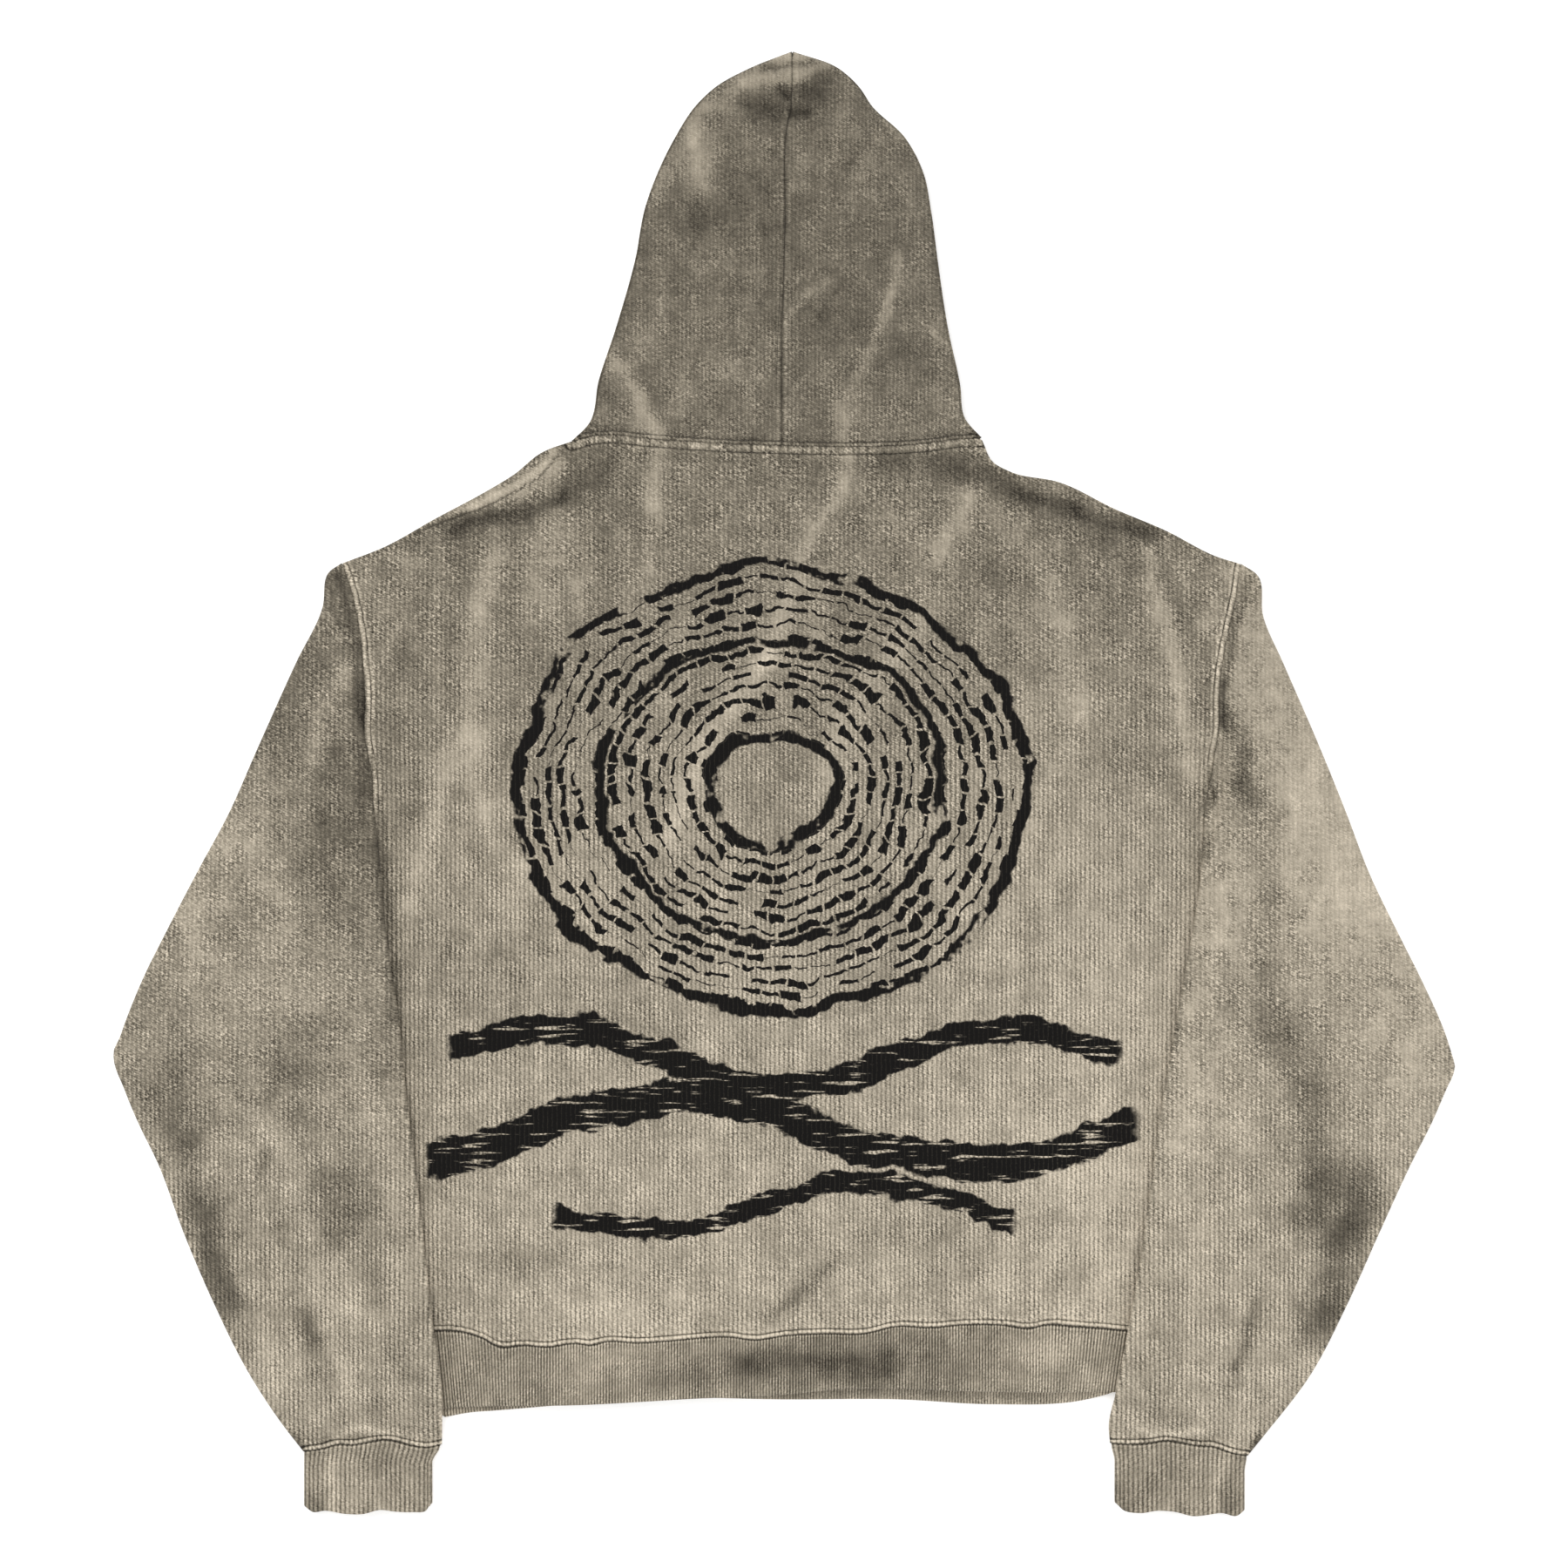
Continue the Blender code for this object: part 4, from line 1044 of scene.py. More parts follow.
def rib_section(width, pitch):
    """Stops round a flat rib tube, a few to each rib, and how far each is up a rib's side, -1 to 1."""
    ribs = int(round((width - 2 * RIB_FOLD_RADIUS) / pitch))
    fold_ribs = max(int(round(math.pi * RIB_FOLD_RADIUS / pitch)), 1)
    there = np.linspace(0.0, 1.0, ribs * PER_RIB + 1)[:-1]
    turn = np.linspace(0.0, np.pi, fold_ribs * PER_RIB + 1)[:-1]
    share, past, up = flat_tube(RIB_FOLD_RADIUS, there, 1.0 - there, turn)
    across = RIB_FOLD_RADIUS / width + share * (1 - 2 * RIB_FOLD_RADIUS / width) + past / width
    return across, up, np.cos(2 * np.pi * (np.arange(len(share)) % PER_RIB / PER_RIB))


def rib_shell(middle, crest):
    """A band's skin round its middle surface: down its outside, round its lip and up its inside."""
    rings, rows = np.gradient(middle, axis=1), np.gradient(middle, axis=0)
    normal = np.cross(rings, rows)
    normal /= np.linalg.norm(normal, axis=-1, keepdims=True)
    if normal[0, 2, 2] < 0:
        normal = -normal
    down = rows[-1] / np.linalg.norm(rows[-1], axis=-1, keepdims=True)
    half = sizes().rib / 2
    depth = sizes().rib_depth / 2 * (0.45 + 0.55 * smooth(RIB_ROWS / 0.12))
    wave = depth[:, None, None] * crest[None, :, None]
    lip = [
        middle[-1] + math.cos(a) * normal[-1] * (half + wave[-1]) + math.sin(a) * down * half
        for a in np.linspace(0.0, np.pi, LIP_STEPS + 2)[1:-1]
    ]
    outer, inner = middle + normal * (half + wave), middle - normal * (half - wave * 0.6)
    flip = float(np.cross(rings[0, 2], rows[0, 2])[2]) < 0
    return np.concatenate([outer, np.array(lip), inner[::-1]]), flip


def rib_tube(name, seam, upper_end, lower_end, pitch, form, tone_at, material, nodes):
    """A doubled rib band, flattened: up its outside, round its edge and back up its inside."""
    swell, hold, gather, contrast = form
    width = float(np.linalg.norm(seam(1.0) - seam(0.0)))
    across, up, crest = rib_section(width, pitch)
    over, v = grid(across, RIB_ROWS)
    topness = smooth((up / RIB_FOLD_RADIUS + 1.0) / 2.0)
    inside = np.minimum(over, 1.0 - over) * width
    end = upper_end(over)
    lower = end + smooth(inside / EDGE_BLEND)[..., None] * (lower_end(over) - end)
    end = lower + topness[:, None] * (end - lower)
    gathered = np.stack([smooth(v / gather) if gather < 1 else v, v], axis=-1)
    points = seam(over) * (1 - gathered) + end * gathered
    edge = distance_to(*[straight(seam(e), upper_end(e)) for e in (0.0, 1.0)])(points)
    slack = RIB_SLACK * soft_noise(points, RIB_SLACK_SIZE, RIB_SEEDS[0]) * smooth(edge / (20 * MM))
    rise = swell * rounded((edge - hold) / RIB_SWELL_WIDTH) + slack
    bottom = sizes().rib / 2 + RIB_FOLD_RADIUS + up
    shell, flip = rib_shell(at_height(points, bottom + topness * rise), crest)

    ground = np.concatenate([points, np.repeat(points[-1:], LIP_STEPS, axis=0), points[::-1]])
    down_share = np.concatenate([RIB_ROWS, np.full(LIP_STEPS, 1.0), RIB_ROWS[::-1]])
    below = np.repeat(down_share[:, None] * RIB_HEIGHT / MM, len(across), axis=1)
    # Painted shade in the valleys between the ribs, deeper in the gathers just under the seam.
    groove = 0.45 - 1.45 * (0.5 - 0.5 * crest) ** 1.6
    deeper = 0.75 + 0.5 * soft_noise(ground * [1.0, 0.25], 6 * MM, RIB_SEEDS[1])
    deeper = deeper + 0.35 * fading(below, 1.5, 3.5)
    tone = clouded(ground, tone_at(ground)) + contrast * groove * deeper + marked(ground, RIB_MARKS)[0]
    # Painted light on the tube's lower half, against the shade it lies in.
    tone += UNDER_TONE * smooth(-up / RIB_FOLD_RADIUS)
    lip_run = RIB_HEIGHT + np.arange(1, LIP_STEPS + 1) * MM
    back_run = lip_run[-1] + MM + (1 - RIB_ROWS[::-1]) * RIB_HEIGHT
    reach = (np.arange(len(across) + 1) / PER_RIB + 0.5) * pitch
    uv = np.stack(grid(reach, np.concatenate([RIB_ROWS * RIB_HEIGHT, lip_run, back_run])), axis=-1)
    piece = laid(name, shell, uv, {"tone": tone, "to_hem": below}, flip=flip, closed=True)
    close_ends(piece)
    piece.data.shade_smooth()
    return finished(piece, material, nodes)


def close_ends(piece):
    """Joins a doubled band's outer and inner edges at its seam, so that the band is one closed skin."""
    select_only(piece)
    bpy.ops.object.mode_set(mode="EDIT")
    bpy.ops.mesh.select_mode(type="EDGE")
    bpy.ops.mesh.select_all(action="DESELECT")
    bpy.ops.mesh.select_non_manifold(
        extend=False, use_wire=False, use_multi_face=False, use_non_contiguous=False, use_verts=False
    )
    bpy.ops.mesh.bridge_edge_loops()
    bpy.ops.object.mode_set(mode="OBJECT")
    piece.select_set(False)


def drawn_in(line, inward):
    return between(line, line(0.0) + inward, line(1.0) - inward)


def build_hem():
    inward = np.array([sizes().rib / 2, 0.0])
    upper_end, lower_end = even_across(spline(HEM_BACK_EDGE)), even_across(spline(HEM_FRONT_EDGE))
    seam = fanned(drawn_in(beside(spline(HEM_SEAM), -SEAM_GAP), inward), upper_end, HEM_FAN)

    def tone_at(points):
        return HEM_TONE + HEM_TONE_GAIN * smooth((points[..., 0] - HEM_GAIN_FROM) / HEM_GAIN_OVER)

    pitch = sizes().hem_pitch
    return rib_tube(
        "hem_rib", seam, upper_end, lower_end, pitch, HEM_FORM, tone_at,
        knit("washed_rib_hem", {"to_hem": RIB_HEAD}, rib=pitch),
        ["hem_band"],
    )


def build_cuff(side):
    inward = np.array([side * sizes().rib / 2, 0.0])
    seam = drawn_in(even_across(beside(spline(CUFF_SEAM[side]), -side * SEAM_GAP)), inward)
    end = drawn_in(spline(CUFF_END[side]), inward)
    outer_x = end(1.0)[0]

    def tone_at(points):
        return CUFF_TONE - CUFF_TONE_LOSS * fading(np.abs(points[..., 0] - outer_x), 4 * MM, 18 * MM)

    word, pitch = word_for(side), sizes().cuff_pitch
    return rib_tube(
        "cuff_rib_" + word, seam, end, end, pitch, CUFF_FORM, tone_at,
        knit("washed_rib_cuff", {"to_hem": RIB_HEAD}, rib=pitch),
        ["cuff_" + word],
    )


# --- Hood and pocket ------------------------------------------------------------------------------

HOOD_MESH = ((0.14, 2.4 * MM, 0.7 * MM, 6 * MM), (0.30, 2.6 * MM, 0.8 * MM, 6 * MM))
HOOD_FOLD_IN, FRONT_NECK_GAP = 1.3 * MM, 0.5 * MM
HOOD_TONE_LEVELS, HOOD_TONES = [240, 270, 330, 400, 470, 521], [0.42, 0.42, 0.38, 0.365, 0.38, 0.45]
HOOD_UNDER_TONE = 0.40
UNDER_UV_SHIFT = 0.6
POCKET_ROWS, POCKET_COLS = 64, 97
POCKET_EDGE = 0.5 * MM
POCKET_SHADE = -0.01


def hood_lines(side):
    centre, fold = spline(HOOD_CENTRE), beside(spline(HOOD_OUTLINE[side]), side * HOOD_FOLD_IN)
    crown, face = spline(CROWN_UNDER), spline(FACE_EDGE[side])
    back_neck, front_neck = beside(spline(BACK_NECK), SEAM_GAP), beside(spline(FRONT_NECK), FRONT_NECK_GAP)
    corner, middle, apex = (1 + side) / 2, 0.5, crown(0.0)
    upper_neck, lower_neck = trimmed(back_neck, middle, corner), trimmed(front_neck, corner, middle)
    upper_sides = between(centre, upper_neck(0.0), apex), between(fold, upper_neck(1.0), apex)
    lower_sides = between(fold, lower_neck(0.0), apex), between(face, lower_neck(1.0), crown(1.0))
    upper = patch(upper_neck, straight(apex, apex), *upper_sides)
    lower = patch(lower_neck, crown, *lower_sides)
    return upper, lower, fold


def hood_height(points, v, edge):
    """The hood's upper layer, which comes down to the back at the neck seam."""
    top = sizes().hood_cloth / 2 + 2 * HOOD_FOLD_RADIUS + sizes().hood_swell * rounded(edge / SWELL_WIDTH)
    top = top + smooth(edge / (30 * MM)) * smooth(v / 0.15) * undulation(points, HOOD_SLACK)
    return top + fading(v, 0.0, 0.18) * (back_height(points) - top)


def round_share(edge):
    """How far up the fold's round the cloth is, at each distance from the fold."""
    return np.sqrt(1.0 - (1.0 - np.clip(edge / HOOD_FOLD_RADIUS, 0.0, 1.0)) ** 2)


def build_hood(side):
    upper, lower, fold = hood_lines(side)
    us, vs = [stops(*mesh) for mesh in HOOD_MESH]
    u, v = grid(us, vs)
    over, under = upper(u, v), lower(u, v)
    edge, under_edge = distance_to(fold)(over), distance_to(fold)(under)
    tone, rise = marked(over, HOOD_MARKS)
    # The centre crease's tone is painted shade in its groove.
    crease, dip = welt(to_centre(over), CENTRE_CREASE)
    rise = rise + dip + welt(to_neck(over), HOOD_FOOT)[1]
    middle = sizes().hood_cloth / 2 + HOOD_FOLD_RADIUS
    height = middle + round_share(edge) * (hood_height(over, v, edge) - middle)
    height = height + rise * smooth(edge / (8 * MM))
    under_height = middle - round_share(under_edge) * HOOD_FOLD_RADIUS
    tone = clouded(over, tone + crease + np.interp(over[..., 1] / MM, HOOD_TONE_LEVELS, HOOD_TONES))
    face_seam = welt(distance_to(spline(FACE_EDGE[side]))(under), FACE_HEM)[0]
    under_tone = clouded(under, np.full(under_edge.shape, HOOD_UNDER_TONE)) + face_seam

    def joined(above, below):
        return np.concatenate([above, below[:, 1:]], axis=1)

    points = joined(at_height(over, height), at_height(under, under_height))
    away = joined(to_neck(over), np.ones(under_edge.shape)) / MM
    fields = {"tone": joined(tone, under_tone), "to_neck": away}
    uv = joined(over, under + [UNDER_UV_SHIFT, 0.0])
    word = word_for(side)
    piece = laid("hood_cloth_" + word, points, uv, fields, flip=side < 0)
    thicken(piece, sizes().hood_cloth)
    return finished(
        piece,
        knit("washed_knit_hood", {"to_neck": HOOD_FOOT}, fine=True),
        ["hood_" + word],
    )


def build_pocket():
    right = [(POCKET_HALF_WIDTH, level) for level in (POCKET_BOTTOM, POCKET_SHOULDER)]
    right.append((POCKET_HALF_TOP, POCKET_TOP))
    levels = np.linspace(POCKET_BOTTOM, POCKET_TOP, POCKET_ROWS)
    half = np.interp(levels, [y for _, y in right], [x for x, _ in right])
    share, y = grid(np.linspace(-1.0, 1.0, POCKET_COLS), levels)
    points = np.stack([half[:, None] * share, y], axis=-1) * MM
    outline = metres(right + [(-x, y) for x, y in reversed(right)] + right[:1])
    tone = clouded(points, base_tone(points) + POCKET_SHADE)
    tone = tone + welt(distance_along([outline], points), POCKET_HEM)[0]
    height = np.full(points.shape[:2], sizes().fabric / 2)
    piece = laid("pocket_cloth", at_height(points, height), points, {"tone": tone})
    thicken(piece, sizes().fabric)
    soften = piece.modifiers.new("Edge", "BEVEL")
    soften.width = POCKET_EDGE
    soften.segments = 2
    soften.limit_method = "ANGLE"
    soften.angle_limit = math.radians(60)
    apply_modifiers(piece)
    return finished(
        piece,
        knit("washed_knit_front", {}),
        ["pocket"],
    )


# --- Stitches -------------------------------------------------------------------------------------

STITCH_PITCH, STITCH_DIVE, STITCH_RISE = 1.22, 0.9, 0.1 * MM
STITCH_STEP = 0.004
# Rows of stitches: how far beside the seam, and the shares of the seam where they start and end.
NECK_ROWS = ((-5.9 * MM, 0.02, 0.985), (2.6 * MM, 0.03, 0.97))
ARMHOLE_ROWS = ((3.3 * MM, 0.24, 0.97),)
HEM_ROWS = ((0.3 * MM, 0.01, 0.99), (3.1 * MM, 0.01, 0.99))


def one_stitch():
    """The visible part of a lockstitch: a short thread that dives at both ends."""
    bpy.ops.object.select_all(action="DESELECT")
    bpy.ops.mesh.primitive_uv_sphere_add(segments=6, ring_count=5, radius=0.5)
    ball = bpy.context.active_object
    points = np.array([list(vertex.co) for vertex in ball.data.vertices])[:, [2, 0, 1]]
    faces = sorted(from_lowest(list(face.vertices)) for face in ball.data.polygons)
    bpy.data.objects.remove(ball, do_unlink=True)
    points = points * [sizes().stitch, sizes().thread, sizes().thread]
    points[:, 2] -= STITCH_DIVE * sizes().thread * (2 * points[:, 0] / sizes().stitch) ** 2
    return points, faces


def from_lowest(corners):
    """A face's corners in the same turn, from its lowest index."""
    start = corners.index(min(corners))
    return corners[start:] + corners[:start]


def sewn(name, lines, material):
    """One piece with all the stitches of some rows on the back."""
    shape, faces = one_stitch()
    points, sides = [], []
    for line in lines:
        count = max(int(length_of(line) / (sizes().stitch * STITCH_PITCH)), 2)
        at = (np.arange(count) + 0.5) / count
        run = run_of(line, at, STITCH_STEP)
        run /= np.linalg.norm(run, axis=1, keepdims=True)
        middle = line(at)
        for place, (ahead_x, ahead_y) in zip(at_height(middle, on_back(middle)), run):
            turned = shape[:, :1] * [ahead_x, ahead_y, 0.0] + shape[:, 1:2] * [-ahead_y, ahead_x, 0.0]
            turned[:, 2] = shape[:, 2]
            first = len(points) * len(shape)
            points.append(turned + place)
            sides += [[first + v for v in face] for face in faces]
    mesh = bpy.data.meshes.new(name)
    mesh.from_pydata(np.concatenate(points).tolist(), [], sides)
    mesh.shade_smooth()
    return finished(linked(name, mesh), material)


def on_back(points):
    return back_surface(points)[0] + sizes().fabric / 2 + STITCH_RISE


def rows_along(seam, rows, side=1):
    return [trimmed(beside(spline(seam), side * away), start, end) for away, start, end in rows]


def build_stitches():
    thread = thread_material()
    sewn("neck_stitches", rows_along(BACK_NECK, NECK_ROWS), thread)
    for side in (-1, 1):
        sewn("armhole_stitches_" + word_for(side), rows_along(ARMHOLE[side], ARMHOLE_ROWS, side), thread)
    sewn("shoulder_stitches", [spline(SHOULDER_ROLL)], thread)
    sewn("hem_stitches", rows_along(HEM_SEAM, HEM_ROWS), thread)


# --- Shader signals -------------------------------------------------------------------------------


class Signal:
    """A shader node's output, which can be reckoned with as a number can."""

    def __init__(self, tree, socket):
        self.tree, self.socket = tree, socket

    def maths(self, operation, *others):
        return signal(self.tree, "ShaderNodeMath", 0, enumerate((self, *others)), operation=operation)

    def __add__(self, other):
        return self.maths("ADD", other)

    def __sub__(self, other):
        return self.maths("SUBTRACT", other)

    def __mul__(self, other):
        return self.maths("MULTIPLY", other)

    def __truediv__(self, other):
        return self.maths("DIVIDE", other)

    def __abs__(self):
        return self.maths("ABSOLUTE")

    def feed(self, into):
        self.tree.links.new(self.socket, into)


def node(tree, kind, links=(), **settings):
    """A shader node with its settings, each link being (its input, a signal or a value)."""
    made = tree.nodes.new(kind)
    for key, value in settings.items():
        setattr(made, key, value)
    for into, source in links:
        if isinstance(source, Signal):
            source.feed(made.inputs[into])
        else:
            made.inputs[into].default_value = source
    return made


def signal(tree, kind, output, links=(), **settings):
    return Signal(tree, node(tree, kind, links, **settings).outputs[output])


def fade(value, low, high):
    """0 below low, 1 above high, smooth between."""
    links = [("Value", value), ("From Min", low), ("From Max", high)]
    return signal(value.tree, "ShaderNodeMapRange", "Result", links, interpolation_type="SMOOTHSTEP")


def noise(vector, scale, detail=2.0, roughness=0.5, output="Fac"):
    links = [("Vector", vector), ("Scale", scale), ("Detail", detail), ("Roughness", roughness)]
    return signal(vector.tree, "ShaderNodeTexNoise", output, links)


def centred(vector, scale, detail=2.0, roughness=0.5):
    """Noise from about -0.5 to 0.5."""
    return noise(vector, scale, detail, roughness) - 0.5


def stretched(vector, x, y):
    return signal(vector.tree, "ShaderNodeMapping", 0, [("Vector", vector), ("Scale", (x, y, 1.0))])


def vector_maths(operation, vector, other, into=1):
    return signal(vector.tree, "ShaderNodeVectorMath", 0, [(0, vector), (into, other)], operation=operation)


def parts_of(vector):
    split = node(vector.tree, "ShaderNodeSeparateXYZ", [("Vector", vector)]).outputs
    return Signal(vector.tree, split["X"]), Signal(vector.tree, split["Y"])


def carried(tree, field):
    """The value that a piece carries at each of its points."""
    return signal(tree, "ShaderNodeAttribute", "Fac", attribute_name=field)


def ramp_of(value, places, colors):
    """A colour ramp of any number of steps."""
    ramp = node(value.tree, "ShaderNodeValToRGB", [("Fac", value)])
    elements = ramp.color_ramp.elements
    while len(elements) < len(places):
        elements.new(0.5)
    for element, place, color in zip(elements, places, colors):
        element.position, element.color = place, (*color, 1.0)
    return Signal(value.tree, ramp.outputs["Color"])


def new_group(name, ins, outs):
    """An empty shader group, its inputs as signals by name, and its outputs."""
    tree = bpy.data.node_groups.new(name, "ShaderNodeTree")
    for label, kind in ins:
        tree.interface.new_socket(label, in_out="INPUT", socket_type="NodeSocket" + kind)
    for label, kind in outs:
        tree.interface.new_socket(label, in_out="OUTPUT", socket_type="NodeSocket" + kind)
    given = {socket.name: Signal(tree, socket) for socket in tree.nodes.new("NodeGroupInput").outputs}
    return given, tree.nodes.new("NodeGroupOutput").inputs


def placed(group, links):
    """The outputs, by name, of a group that is built when first used."""
    name, build = group
    if name not in bpy.data.node_groups:
        build(name)
    tree = next(source.tree for _, source in links if isinstance(source, Signal))
    made = node(tree, "ShaderNodeGroup", links, node_tree=bpy.data.node_groups[name])
    return {socket.name: Signal(tree, socket) for socket in made.outputs}


def new_material(name, finish):
    material = bpy.data.materials.new(name)
    material.use_nodes = True
    shader = material.node_tree.nodes["Principled BSDF"].inputs
    for label, value in finish.items():
        shader[label].default_value = value
    return material, material.node_tree, shader


def roughened(tree, height, strength, depth, shader):
    links = [("Height", height), ("Strength", strength), ("Distance", depth)]
    signal(tree, "ShaderNodeBump", "Normal", links).feed(shader["Normal"])


def to_linear(colour):
    return [part / 12.92 if part <= 0.04045 else ((part + 0.055) / 1.055) ** 2.4 for part in colour]


# --- Materials ------------------------------------------------------------------------------------

SEAM_REACH = 16.0
WELT_STOPS = (-1.5, -0.75, 0.0, 0.75, 1.5)
RAMP_ZERO = 0.5
DYE_STEPS = 8
FINE_SQUEEZE = 0.84
RIB_COURSE = 1.6 * MM
DEPTH, FINE_DEPTH = 0.15, 0.12
CLOUD, STREAK, GRAIN = 0.54, 0.22, 7.2
PRINT_CENTRE, PRINT_RADII = (-0.008, -0.005, 0.0), (0.185, 0.160)
RING_COUNT, STROKE_TURN, STROKE_GAIN, STROKE_SHIFT = 17.0, 2.0, 0.62, 2.37
BOLD_RINGS = ((0.245, 0.022), (0.66, 0.016), (0.985, 0.020))
# The brushed waves: level, swing, waves to the metre, half thickness and half length.
BRUSHED = (
    (-0.196, 0.020, 19.0, 0.0095, 0.235),
    (-0.247, 0.024, 15.0, 0.013, 0.25),
    (-0.302, 0.018, 21.0, 0.008, 0.16),
)
BRUSHED_PHASE = 40.0
KNIT_FINISH = {"Roughness": 0.95, "Specular IOR Level": 0.1, "Sheen Weight": 0.05, "Sheen Roughness": 0.6}
THREAD_FINISH, STRANDS = {"Roughness": 0.8}, 900.0


def build_loops(name):
    """Loose knit on a cloth's own coordinates: clumped threads, and upright columns of loops where Upright
    is 1."""
    ins = [("Vector", "Vector"), ("Wale", "Float"), ("Course", "Float"), ("Upright", "Float")]
    given, made = new_group(name, ins, [("Height", "Float"), ("Shade", "Float")])
    cloth, is_upright = given["Vector"], given["Upright"]
    x, y = parts_of(cloth)
    x, y = x / given["Wale"], y / given["Course"]
    sway, shift = centred(cloth, 190.0), centred(cloth, 260.0)
    clump = centred(stretched(cloth, 0.6, 1.15), 430.0, 2.0, 0.6)

    def wave(across, up, bend, by):
        return ((x * across + y * up + bend * by) * (2 * math.pi)).maths("COSINE")

    column = wave(1.0, 0.0, sway, 0.4)
    twill = wave(0.602, 0.333, shift, 1.3)
    dash = wave(0.883, 1.0, shift, 0.9)
    loose = clump * (is_upright * -1.5 + 5.0)
    mesh = column * (is_upright * -0.75 - 0.45) + twill * 0.32 + loose + dash * 0.5
    mesh = fade(mesh, -0.9, 1.5) * 1.8 - 0.80
    ridge = (column * -0.5 + 0.5).maths("POWER", 0.35)
    upright = ridge * 2.1 - 1.35 + twill * 0.20 + clump * 1.4 + dash * (ridge * -0.35 + 0.55)
    (mesh * 0.4 + ridge).feed(made["Height"])
    blend = [("Factor", is_upright), ("A", mesh), ("B", upright)]
    signal(cloth.tree, "ShaderNodeMix", "Result", blend).feed(made["Shade"])


def build_dye(name):
    """The washed dye's colour for a tone from 0, its darkest, to 1, its most faded."""
    given, made = new_group(name, [("Tone", "Float")], [("Color", "Color")])
    places = np.linspace(0.0, 1.0, DYE_STEPS + 1)
    shades = zip(colours().darkest, colours().middle, colours().lightest)
    colors = zip(*[np.interp(places, [0.0, 0.5, 1.0], parts).tolist() for parts in shades])
    ramp_of(given["Tone"], places, [to_linear(color) for color in colors]).feed(made["Color"])


def build_print(name):
    """A worn abstract print: rings of broken strokes round a sun, over three brushed waves."""
    given, made = new_group(name, [("Vector", "Vector")], [("Ink", "Float")])
    here = given["Vector"]
    rough, coarse = noise(here, 90.0, 3.0, output="Color"), noise(here, 16.0, output="Color")

    def nudged(vector, by, amount):
        moved = vector_maths("SCALE", vector_maths("SUBTRACT", by, (0.5, 0.5, 0.5)), amount, "Scale")
        return vector_maths("ADD", vector, moved)

    drawn = nudged(nudged(here, coarse, 0.030), rough, 0.010)
    x, y = parts_of(vector_maths("SUBTRACT", drawn, PRINT_CENTRE))
    x, y = x / PRINT_RADII[0], y / PRINT_RADII[1]
    radius, angle = (x * x + y * y).maths("SQRT"), y.maths("ARCTAN2", x)
    ring = (radius * RING_COUNT).maths("FLOOR")
    in_ring = abs((radius * RING_COUNT).maths("FRACT") - 0.5)
    strokes = angle * (ring * STROKE_GAIN + STROKE_TURN) + ring * STROKE_SHIFT
    stroke, in_stroke = strokes.maths("FLOOR"), abs(strokes.maths("FRACT") - 0.5)
    cell = signal(here.tree, "ShaderNodeCombineXYZ", "Vector", [("X", ring), ("Y", stroke)])
    chance = signal(here.tree, "ShaderNodeTexWhiteNoise", "Value", [("Vector", cell)], noise_dimensions="2D")
    left_in_stroke = in_stroke * -1.0 + 0.44
    broken = fade((chance * 0.34 - 0.02 - in_ring).maths("MINIMUM", left_in_stroke), -0.02, 0.02)
    broken = broken * (fade(radius, 0.24, 0.27) * fade(radius, 1.02, 0.99))
    bold = [fade(abs(radius - at), half + 0.006, half - 0.004) for at, half in BOLD_RINGS]
    bold = functools.reduce(darker, bold) * fade(noise(here, 34.0, 3.0, 0.6), 0.40, 0.45)

    across, up = parts_of(nudged(nudged(here, coarse, 0.022), rough, 0.013))
    waves = []
    for level, swing, turn, half, end in BRUSHED:
        path = (across * turn + level * BRUSHED_PHASE).maths("SINE") * swing + level
        band = fade(abs(up - path), half + 0.0012, half - 0.0008)
        waves.append(band * fade(abs(across), end + 0.006, end))
    bristle = fade(noise(stretched(here, 1.0, 9.0), 34.0, 3.0, 0.6), 0.36, 0.42)
    waves = functools.reduce(darker, waves) * bristle
    functools.reduce(darker, (broken, bold, waves)).feed(made["Ink"])


def darker(one, other):
    return one.maths("MAXIMUM", other)


LOOPS, DYE, PRINT = ("knit_loops", build_loops), ("washed_dye", build_dye), ("worn_print", build_print)


def seam_shade(cloth, field, profile):
    """The painted shade and light across a seam, from the millimetres to it that the piece carries."""
    away = centred(cloth, 150.0) * 0.9 + carried(cloth.tree, field)
    places = [at + share * width for at, width, _, _ in profile for share in WELT_STOPS]
    places = sorted({round(min(max(place, 0.0), SEAM_REACH), 2) for place in (0.0, *places, SEAM_REACH)})
    shades = welt(np.array(places) * MM, profile)[0]
    levels = [float(shade) * (place < SEAM_REACH) + RAMP_ZERO for place, shade in zip(places, shades)]
    shares = [place / SEAM_REACH for place in places]
    return ramp_of(away / SEAM_REACH, shares, [[level] * 3 for level in levels]) - RAMP_ZERO


def neck_pucker(cloth):
    """Painted shade and light of small folds across the neck's welt, which the cloth's shape doesn't have.
    """
    away = carried(cloth.tree, "to_neck")
    ticks = centred(stretched(cloth, 1.0, 0.22), 330.0, 2.0, 0.6)
    return ticks * (fade(away, 0.5, 1.2) * fade(away, 5.8, 4.8)) * 0.8


def inked(cloth, dye, worn):
    """The dye with the print on it, which is a little worn where the cloth stands out."""
    ink = placed(PRINT, [("Vector", cloth)])["Ink"] * (worn * 0.08 + 0.92)
    colour = (*to_linear(colours().ink), 1.0)
    return signal(cloth.tree, "ShaderNodeMix", 2, [("Factor", ink), (6, dye), (7, colour)], data_type="RGBA")


